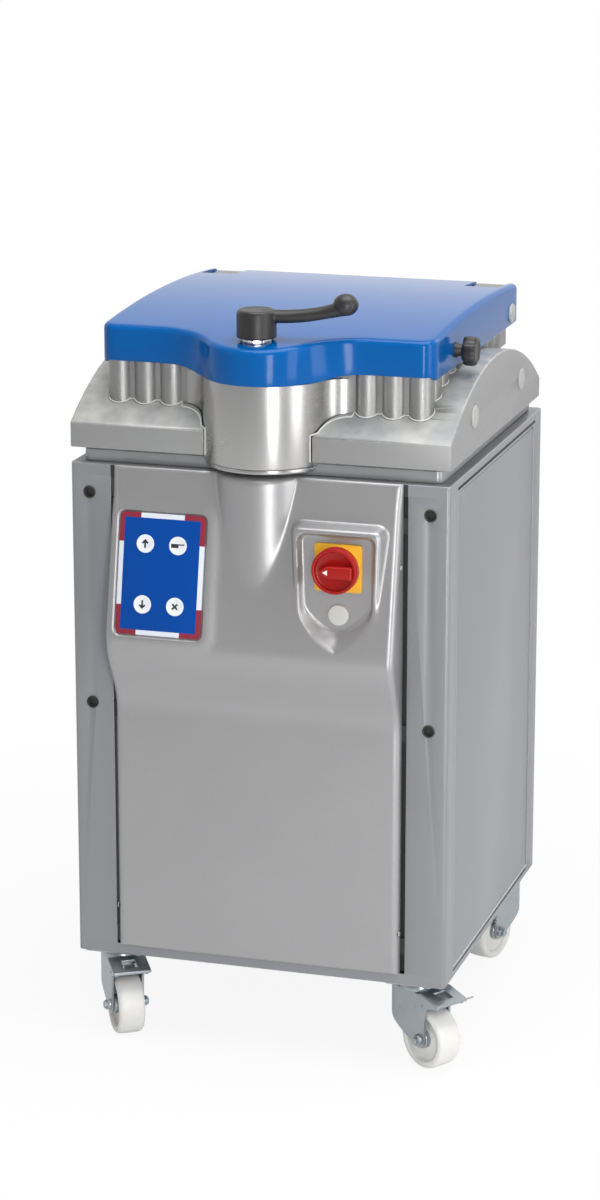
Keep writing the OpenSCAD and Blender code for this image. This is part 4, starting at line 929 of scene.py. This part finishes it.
def swept_edge(t):
    """Depth and height of a yoke's lower edge, from its rear at 0 to the eye at 1."""
    depth = YOKE_REAR - SWEEP_ONE * t - SWEEP_TWO * t * t
    return depth, EDGE_REAR * (1 - t) ** 2 + 2 * EDGE_PULL * t * (1 - t) + EDGE_EYE * t * t


def swept_at(depth):
    """Where along the lower edge a depth is reached."""
    root = math.sqrt(SWEEP_ONE ** 2 + 4 * SWEEP_TWO * (YOKE_REAR - depth))
    return (root - SWEEP_ONE) / (2 * SWEEP_TWO)


def yoke_edges(braked):
    """Lower and upper edge of a yoke's leg by depth: front or horn, eye round the axle, arched rear."""
    if braked:
        front = [(-74, 114.2, 115.8), (-68, 112.8, 117.4), (-60, 111, 119.4), (-52, 108.8, 121.4),
                 (-46.5, 105, 122.8), (-43.4, 97, 123.6), (-42.1, 80, 124)]
    else:
        front = [(y, low, YOKE_TOP)
                 for y, low in ((-50, 116), (-46.4, 106), (-44.2, 97), (-42.7, 86), (-42.1, 70))]
    eye = [(y, low, HORN_TOP if braked and y <= -33 else YOKE_TOP)
           for y, low in arc(-TRAIL, AXLE_Z, EYE_R, 180, 318, 14)]
    rear = [(*swept_edge(t), YOKE_TOP) for t in np.linspace(1, BEND_FROM, 10)[1:]]
    return front + eye + rear


def yoke_piece(place):
    """A pressed yoke: one wall bent from leg to leg, a crown, a cup round the swivel race, axle heads."""
    leg = [((LEG, y), (1.0, 0.0), low, high) for y, low, high in yoke_edges(place[0] == "f")]
    bend = []
    for a in np.radians(np.linspace(0, 90, 9)[1:]):
        x, y = LEG - YOKE_BEND + YOKE_BEND * math.cos(a), YOKE_REAR - YOKE_BEND + YOKE_BEND * math.sin(a)
        bend.append(((x, y), (math.cos(a), math.sin(a)), swept_edge(swept_at(y))[1], YOKE_TOP))
    half = leg + bend
    path = half + [((-at[0], at[1]), (-out[0], out[1]), low, high) for at, out, low, high in half[::-1]]
    loops = []
    for at, out, low, high in path:
        cut = min(0.9, (high - low) / 4)
        inner = SHEET - cut
        ring = [(0, low + cut), (0, high - cut), (cut, high), (inner, high),
                (SHEET, high - cut), (SHEET, low + cut), (inner, low), (cut, low)]
        loops.append(np.array([[at[0] - out[0] * d, at[1] - out[1] * d, z] for d, z in ring]))
    crown = soft_slab(evenly(rounded(48, 78, 20) + [0, 10], 8), 116, YOKE_TOP + 0.2, 1.0)
    cup = [(28.4, 127.6), (32, 127.6), (32.8, 129), (32.8, 133), (31.6, 138), (30, 140.2), (28.4, 140.4),
           (28.4, 127.6)]
    cup = loft([at_height(round_of(56) * r, z) for r, z in cup], False, False)
    head = turned([(0, LEG - 0.4), (9, LEG - 0.4), (9, LEG + 3.6), (8, LEG + 5), (0, LEG + HEAD_OUT)], 32)
    heads = [moved(head, stand((0, -TRAIL, AXLE_Z), (side, 0, 0), UP)) for side in (-1, 1)]
    put = at_castor(place)
    parts = [moved(part, put) for part in [loft(loops), crown, cup] + heads]
    return piece_of("yoke_" + place, parts, [zinc])


def bar_of(half, radius, tip, eased, count):
    """A round bar about the local Z that narrows to its tip's radius over the last stretch of each end."""
    end = [(0, half), (tip, half), (radius, half - eased)]
    return turned([(r, -h) for r, h in end] + end[::-1], count)


def pedal_piece(place):
    """A pressed pedal: sloping plate with a window, folded sides, rolled lip, its pin through the yoke."""
    outline = evenly(rounded(2 * PEDAL_HALF, PEDAL_LONG, 3) + [0, -PEDAL_LONG / 2], 8)
    tread = soft_slab(outline, -PEDAL_SHEET / 2, PEDAL_SHEET / 2, 0.6, 0.6)
    plate = piece_of("tread_" + place, [tread], [zinc])
    carve(plate, [PEDAL_WINDOW])
    lip_y = -PEDAL_LONG - 0.5
    lip = moved(bar_of(PEDAL_HALF, 2.9, 2, 1, 20), stand((0, lip_y, -1.2), RIGHT, UP))
    rod = moved(bar_of(11, 2.2, 1.6, 0.8, 16), stand((0, -11.5, 0.4), RIGHT, UP))
    pin = moved(bar_of(LEG + 1.1, 3, 2.2, 0.6, 16), stand((0, PIN_Y, PIN_Z), RIGHT, UP))
    parts = [lip, rod, soft_slab(rounded(18, 14, 2) + [0, -25.5], -4.4, -2.4, 0.5)]
    if place == "fr":
        wire = turned([(0, 30.6), (1.4, 30.6), (1.4, 45), (0.8, 46), (0, 46)], 12)
        parts.append(moved(wire, stand((0, lip_y, -0.6), RIGHT, UP)))
    fold = evenly(np.array([(-44, -3), (-38, -5), (-10, -5.5), (-5, -3.5), (-4, 1.2), (-43, 1.2)]), 7)
    for low in (PEDAL_HALF - FOLD, -PEDAL_HALF):
        flange = soft_slab(fold, low, low + FOLD, 0.5, 0.5)
        parts.append((flange[0][:, [2, 0, 1]], flange[1]))
    more = piece_of("fold", parts, [zinc])
    put = at_castor(place)
    pin = piece_of("pin", [moved(pin, put)], [zinc])
    sloped = stand((0, PEDAL_Y, PEDAL_Z), (0, -math.sin(PEDAL_DIP), math.cos(PEDAL_DIP)), REAR)
    form = bmesh.new()
    for piece in (plate, more):
        form.from_mesh(piece.data)
    for corner in form.verts:
        corner.co = Vector(put(sloped(corner.co / MM))) * MM
    form.from_mesh(pin.data)
    bmesh.ops.recalc_face_normals(form, faces=form.faces)
    form.to_mesh(plate.data)
    form.free()
    smooth(plate.data, 38.0)
    for spare in (more, pin):
        bpy.data.objects.remove(spare)
    return plate


for place in CASTORS:
    settle(wheel_piece(place), "wheel_" + place, "wheel_nylon", "wheel_" + place)
    settle(yoke_piece(place), "castor_" + place, "zinc", "fork_" + place)
for place in ("fl", "fr"):
    settle(pedal_piece(place), "pedal_" + place, "zinc", "pedal_" + place)


# Geometry Nodes: fasteners on points, beads along paths, slats in rows

def node_tree(name, numbers):
    """A tree that takes a mesh and named sizes and gives a mesh."""
    tree = bpy.data.node_groups.new(name, "GeometryNodeTree")
    tree.interface.new_socket("Geometry", in_out="INPUT", socket_type="NodeSocketGeometry")
    for label, value in numbers.items():
        kind = "NodeSocketInt" if isinstance(value, int) else "NodeSocketFloat"
        tree.interface.new_socket(label, in_out="INPUT", socket_type=kind).default_value = value
    tree.interface.new_socket("Finish", in_out="INPUT", socket_type="NodeSocketMaterial")
    tree.interface.new_socket("Geometry", in_out="OUTPUT", socket_type="NodeSocketGeometry")
    board = Board(tree)
    return board, board.add("NodeGroupInput").outputs, board.add("NodeGroupOutput").inputs


def close_tree(board, given, result, shape):
    real = board.add("GeometryNodeRealizeInstances", {0: shape}).outputs[0]
    dressed = board.add("GeometryNodeSetMaterial", {"Geometry": real, "Material": given["Finish"]}).outputs[0]
    board.feed(result[0], dressed)
    return board.tree


def fastener_tree():
    """Washer, head and chamfered crown on each point, turned along the points' own facing."""
    board, given, result = node_tree("fasteners", {"Head Radius": 0.005, "Head Height": 0.003, "Sides": 6})
    radius, height, sides = given["Head Radius"], given["Head Height"], given["Sides"]

    def lifted(shape, by):
        up = board.add("ShaderNodeCombineXYZ", {2: by}).outputs[0]
        return board.add("GeometryNodeTransform", {"Geometry": shape, "Translation": up}).outputs[0]

    half_height = board.maths("MULTIPLY", height, 0.5)
    washer = board.add("GeometryNodeMeshCylinder", {
        "Vertices": 28, "Radius": board.maths("MULTIPLY", radius, 1.25),
        "Depth": half_height}).outputs["Mesh"]
    head = board.add("GeometryNodeMeshCylinder", {
        "Vertices": sides, "Radius": radius, "Depth": height}).outputs["Mesh"]
    crown = board.add("GeometryNodeMeshCone", {
        "Vertices": sides, "Radius Top": board.maths("MULTIPLY", radius, 0.72), "Radius Bottom": radius,
        "Depth": board.maths("MULTIPLY", height, 0.3)}).outputs["Mesh"]
    whole = board.add("GeometryNodeJoinGeometry")
    for part in (washer, lifted(head, half_height), lifted(crown, height)):
        board.tree.links.new(part, whole.inputs[0])
    named = board.add("GeometryNodeInputNamedAttribute", {"Name": "facing"}, data_type="FLOAT_VECTOR")
    facing = named.outputs["Attribute"]
    turn = board.add("FunctionNodeAlignRotationToVector", {"Vector": facing}, axis="Z").outputs[0]
    placed = board.add("GeometryNodeInstanceOnPoints", {
        "Points": given["Geometry"], "Instance": whole.outputs[0], "Rotation": turn}).outputs[0]
    return close_tree(board, given, result, placed)


def bead_tree():
    """A round bead laid along the edges of a path."""
    board, given, result = node_tree("bead", {"Bead Radius": 0.0016, "Sides": 8})
    path = board.add("GeometryNodeMeshToCurve", {"Mesh": given["Geometry"]}).outputs[0]
    ring = board.add("GeometryNodeCurvePrimitiveCircle", {
        "Resolution": given["Sides"], "Radius": given["Bead Radius"]}).outputs[0]
    tube = board.add("GeometryNodeCurveToMesh", {
        "Curve": path, "Profile Curve": ring, "Fill Caps": True}).outputs[0]
    return close_tree(board, given, result, tube)


def slat_tree():
    """A tilted slat on each point of a row."""
    board, given, result = node_tree("slats", {
        "Slat Length": 0.13, "Slat Depth": 0.012, "Slat Thickness": 0.0012, "Tilt": 0.7})
    size = board.add("ShaderNodeCombineXYZ", {
        0: given["Slat Length"], 1: given["Slat Depth"], 2: given["Slat Thickness"]}).outputs[0]
    blade = board.add("GeometryNodeMeshCube", {
        "Size": size, "Vertices X": 6, "Vertices Y": 3}).outputs["Mesh"]
    turn = board.add("ShaderNodeCombineXYZ", {0: given["Tilt"]}).outputs[0]
    tilted = board.add("GeometryNodeTransform", {"Geometry": blade, "Rotation": turn}).outputs[0]
    placed = board.add("GeometryNodeInstanceOnPoints", {
        "Points": given["Geometry"], "Instance": tilted}).outputs[0]
    return close_tree(board, given, result, placed)


FASTENERS, BEAD, SLATS = fastener_tree(), bead_tree(), slat_tree()


def grown(name, tree, points, material, sizes, facing=None, edges=(), sharp=38.0):
    """A plain mesh that a tree grows from points in millimetres."""
    mesh = bpy.data.meshes.new(name)
    mesh.from_pydata([tuple(np.array(p, float) * MM) for p in points], list(edges), [])
    if facing is not None:
        layer = mesh.attributes.new("facing", "FLOAT_VECTOR", "POINT")
        layer.data.foreach_set("vector", np.array(facing, np.float32).ravel())
    piece = mesh_object(name, mesh)
    grower = piece.modifiers.new(name, "NODES")
    grower.node_group = tree
    for socket in tree.interface.items_tree:
        if socket.item_type == "SOCKET" and socket.in_out == "INPUT":
            if socket.name in sizes:
                grower[socket.identifier] = sizes[socket.name]
            elif socket.name == "Finish":
                grower[socket.identifier] = material
    evaluated(piece)
    form = bmesh.new()
    form.from_mesh(piece.data)
    bmesh.ops.remove_doubles(form, verts=form.verts, dist=1e-6)
    form.to_mesh(piece.data)
    form.free()
    smooth(piece.data, sharp)
    return piece


for place in CASTORS:
    at, axle = castor_axes(place)
    to_nut = axle * (LEG + HEAD_OUT + 0.6)
    settle(grown("axle_nuts_" + place, FASTENERS, [at + to_nut, at - to_nut], zinc,
                 {"Head Radius": 0.0068, "Head Height": 0.0036, "Sides": 6}, [axle, -axle]),
           "castor_" + place, "zinc")
side_screws = [((PANEL_HALF * s, y, z), (s, 0, 0)) for s in (-1, 1) for y, z in ((-322, 838), (-318, 236))]
back_screws = [((x, 310, z), REAR) for x in (-232, 0, 232) for z in (180, 936)]
back_screws += [((x, 310, z), REAR) for x in (-232, 232) for z in (432, 684)]
screw_places, screw_facings = zip(*(side_screws + back_screws))
settle(grown("panel_screws", FASTENERS, screw_places, steel,
             {"Head Radius": 0.0042, "Head Height": 0.0016, "Sides": 20}, screw_facings),
       "cabinet", "steel")


RIB_LINE, RIB_R, VAT_WALL = 246.0, 20.0, 256.0    # the ribs' centre line and radius, the wall between them
FRONT_RIBS = (160, 203, RIB_LINE)
SIDE_RIBS = [43.2 * i - RIB_LINE for i in range(6)]
FLARE_X, FLARE_R = 139.6, 45.0    # the hollow between boss and ribs
HOOD_BOW, HOOD_BOW_Y, HOOD_BOW_Z = 542.0, -15.0, 579.0
SEAM_STEP, SEAM_REAR = 1.5, -55.0
SEAM_FOOT_X, SEAM_FOOT_Z = 85.3, (994.0, 1036.0)    # upright start of the seam beside the boss


def seam_path():
    """Where the ribbed casting and its boss come out of the hood: a run on the left and one on the right."""
    def rib(t, centres):
        bulge = np.max([np.sqrt(np.maximum(RIB_R ** 2 - (t - c) ** 2, 0)) for c in centres], axis=0)
        return np.maximum(VAT_WALL, RIB_LINE + bulge)

    def hood_z(y):
        return HOOD_BOW_Z + np.sqrt(HOOD_BOW ** 2 - (y - HOOD_BOW_Y) ** 2)

    x = np.arange(88.0, 247.0, SEAM_STEP)
    flare = np.sqrt(np.maximum(FLARE_R ** 2 - (x - FLARE_X) ** 2, 0)) - CASING_FRONT
    front = np.where(x < FLARE_X, flare, -rib(x, FRONT_RIBS))
    corner = arc(RIB_LINE, -RIB_LINE, RIB_R, -84, 0, 15)
    y = np.arange(-RIB_LINE, SEAM_REAR, SEAM_STEP)
    flank = np.c_[rib(y, SIDE_RIBS), y]
    plan = np.vstack([np.c_[x, front], corner, flank])
    plan = plan[plan[:, 1] > 0.5 - CASING_FRONT]
    side = np.c_[plan, hood_z(plan[:, 1]) + 0.3]
    foot = np.array([[SEAM_FOOT_X, -CASING_FRONT - 0.5, z] for z in SEAM_FOOT_Z])
    right = np.vstack([foot, side])
    return [right * [-1, 1, 1], right]


seam_points, seam_edges = [], []
for run in seam_path():
    base = len(seam_points)
    seam_edges += [(base + i, base + i + 1) for i in range(len(run) - 1)]
    seam_points.extend(run)
# The bead is a real raised edge; its light finish is a painted highlight
settle(grown("seam_bead", BEAD, seam_points, painted_seam_highlight, {"Bead Radius": 0.0014, "Sides": 8},
             edges=seam_edges, sharp=60.0),
       "cabinet", "cowl_grey")
# Beads along the side panels' front, rear, top and bottom edges stand for rolled edges; their light finish is
# a painted highlight
fold_points, fold_edges = [], []
for side in (-309.0, 309.0):
    base = len(fold_points)
    corners = ((-261, 155), (261, 155), (261, 951), (-261, 951), (-255, 165), (255, 165))
    fold_points += [(side, y, z) for y, z in corners]
    fold_edges += [(base + a, base + b) for a, b in ((0, 1), (1, 2), (2, 3), (3, 0), (4, 5))]
settle(grown("side_fold_highlights", BEAD, fold_points, painted_edge_highlight, {"Bead Radius": 0.0011, "Sides": 8},
             edges=fold_edges, sharp=60.0),
       "cabinet", "casing_grey")
slat_points = [(x, 307.0, 419 + 22 * i) for x in (-90, 90) for i in range(8)]
settle(grown("louvre_slats", SLATS, slat_points, casing_paint,
             {"Slat Length": 0.128, "Slat Depth": 0.011, "Slat Thickness": 0.0012, "Tilt": 0.75}),
       "cabinet", "casing_grey")


# CAD forms that stay as they are get a worked finish

KEPT = {
    # front_rails take the near-black painted shade
    "front_rails": painted_gap_shade, "cable_gland": black_plastic, "switch_body": black_plastic,
    "lock_keeper": steel, "hinge_shaft": steel, "cowl_spacers": steel, "lid_plate": food_white,
    "lock_spindle": steel, "tie_rods": steel, "crosshead": machine_paint,
    "press_cylinder": machine_paint, "press_ram": chrome, "press_platform": steel,
    "press_plungers": food_white, "knife_carrier": steel, "knife_blades": chrome,
    "knife_cylinders": machine_paint, "knife_rams": chrome,
    "oil_tank": machine_paint, "pump_motor": machine_paint, "valve_block": steel, "control_box": casing_paint,
}
for node, material in KEPT.items():
    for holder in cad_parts[node].material_slots:
        holder.material = material


# Stage: pale floor, white surround, soft boxes, and the camera at the picture's angle

def seen_directly(board):
    """1 for rays from the camera, from gloss and through glass, 0 for the rest."""
    rays = board.add("ShaderNodeLightPath").outputs
    some = board.maths("MAXIMUM", rays["Is Camera Ray"], rays["Is Glossy Ray"])
    return board.maths("MAXIMUM", some, rays["Is Transmission Ray"])


def stage_floor():
    count = 64
    ring = arc(0, 0, 60000, 0, 360 - 360 / count, count)
    floor = piece_of("studio_floor", [(at_height(ring, -0.4), [tuple(range(count))])], [])
    material = bpy.data.materials.new("pale_floor")
    material.use_nodes = True
    tree = material.node_tree
    tree.nodes.clear()
    board = Board(tree)
    matte = board.add("ShaderNodeBsdfDiffuse", {"Color": (0.86, 0.86, 0.87, 1)})
    glow = board.add("ShaderNodeEmission", {"Color": (1, 1, 1, 1), "Strength": 1.0})
    place = board.add("ShaderNodeTexCoord").outputs["Object"]
    away = board.add("ShaderNodeVectorMath", {0: place}, operation="LENGTH").outputs["Value"]
    share = board.ramp(away, 0.4, 1.7, 0.9, 1.0)
    depth = board.add("ShaderNodeSeparateXYZ", {0: place}).outputs["Y"]
    mirrored = board.add("ShaderNodeLightPath").outputs["Is Glossy Ray"]
    dim = board.maths("MULTIPLY", mirrored, board.ramp(depth, 1.0, -2.5, 0.3, 0.72))
    share = board.maths("MULTIPLY", share, board.maths("SUBTRACT", 1.0, dim))
    lit = board.add("ShaderNodeMixShader", {0: board.maths("MULTIPLY", share, seen_directly(board)),
                                            1: matte.outputs[0], 2: glow.outputs[0]})
    board.feed(board.add("ShaderNodeOutputMaterial").inputs["Surface"], lit.outputs[0])
    floor.data.materials.append(material)


def surround():
    world = bpy.data.worlds.new("white_surround")
    world.use_nodes = True
    scene.world = world
    board = Board(world.node_tree)
    back = world.node_tree.nodes["Background"]
    back.inputs["Color"].default_value = (1, 1, 1, 1)
    rays = board.add("ShaderNodeLightPath").outputs
    place = board.add("ShaderNodeTexCoord").outputs["Generated"]
    towards = board.add("ShaderNodeSeparateXYZ", {0: place}).outputs
    rear = board.ramp(towards["Y"], -0.5, 0.35, 0.3, 1.0)
    through = board.maths("MAXIMUM", rays["Is Glossy Ray"], rays["Is Transmission Ray"])
    soft = board.maths("MAXIMUM", board.maths("MULTIPLY", through, rear), 0.36)
    board.feed(back.inputs["Strength"], board.maths("MAXIMUM", soft, rays["Is Camera Ray"]))


def soft_box(name, at, towards, width, height, power):
    light = bpy.data.lights.new(name, "AREA")
    light.shape = "RECTANGLE"
    light.size, light.size_y, light.energy = width, height, power
    lamp = bpy.data.objects.new(name, light)
    lamp.location = at
    lamp.rotation_mode = "QUATERNION"
    lamp.rotation_quaternion = (Vector(towards) - Vector(at)).to_track_quat("-Z", "Y")
    scene.collection.objects.link(lamp)


CAMERA_AT = (1.5573, -5.2213, 2.1562)
CAMERA_YAW, CAMERA_PITCH = 16.86, 15.1


def picture_camera():
    yaw, pitch = math.radians(CAMERA_YAW), math.radians(CAMERA_PITCH)
    right = Vector((math.cos(yaw), math.sin(yaw), 0))
    forward = Vector((-math.sin(yaw) * math.cos(pitch), math.cos(yaw) * math.cos(pitch), -math.sin(pitch)))
    up = right.cross(forward)
    camera = bpy.data.objects.new("picture_camera", bpy.data.cameras.new("picture_camera"))
    camera.data.lens = 101.82
    camera.data.sensor_width = 36.0
    camera.data.clip_end = 200.0
    axes = Matrix((right, up, -forward)).transposed().to_4x4()
    camera.matrix_world = Matrix.Translation(Vector(CAMERA_AT)) @ axes
    scene.collection.objects.link(camera)
    scene.camera = camera


stage_floor()
surround()
soft_box("overhead_box", (0.4, -0.5, 3.4), (0, 0, 0.8), 2.4, 2.0, 72)
soft_box("front_strip", (1.07, -2.47, 1.05), (0, -0.35, 1.05), 0.45, 2.0, 28)
soft_box("side_strip", (2.3, -1.15, 1.4), (0, -0.2, 1.05), 0.9, 2.6, 24)
soft_box("left_fill", (-2.6, -2.4, 1.7), (0, 0, 0.8), 1.2, 1.8, 4)
soft_box("rear_fill", (1.9, 2.5, 2.7), (0, 0.2, 0.7), 1.6, 1.6, 14)
picture_camera()
scene.view_settings.view_transform = "Standard"
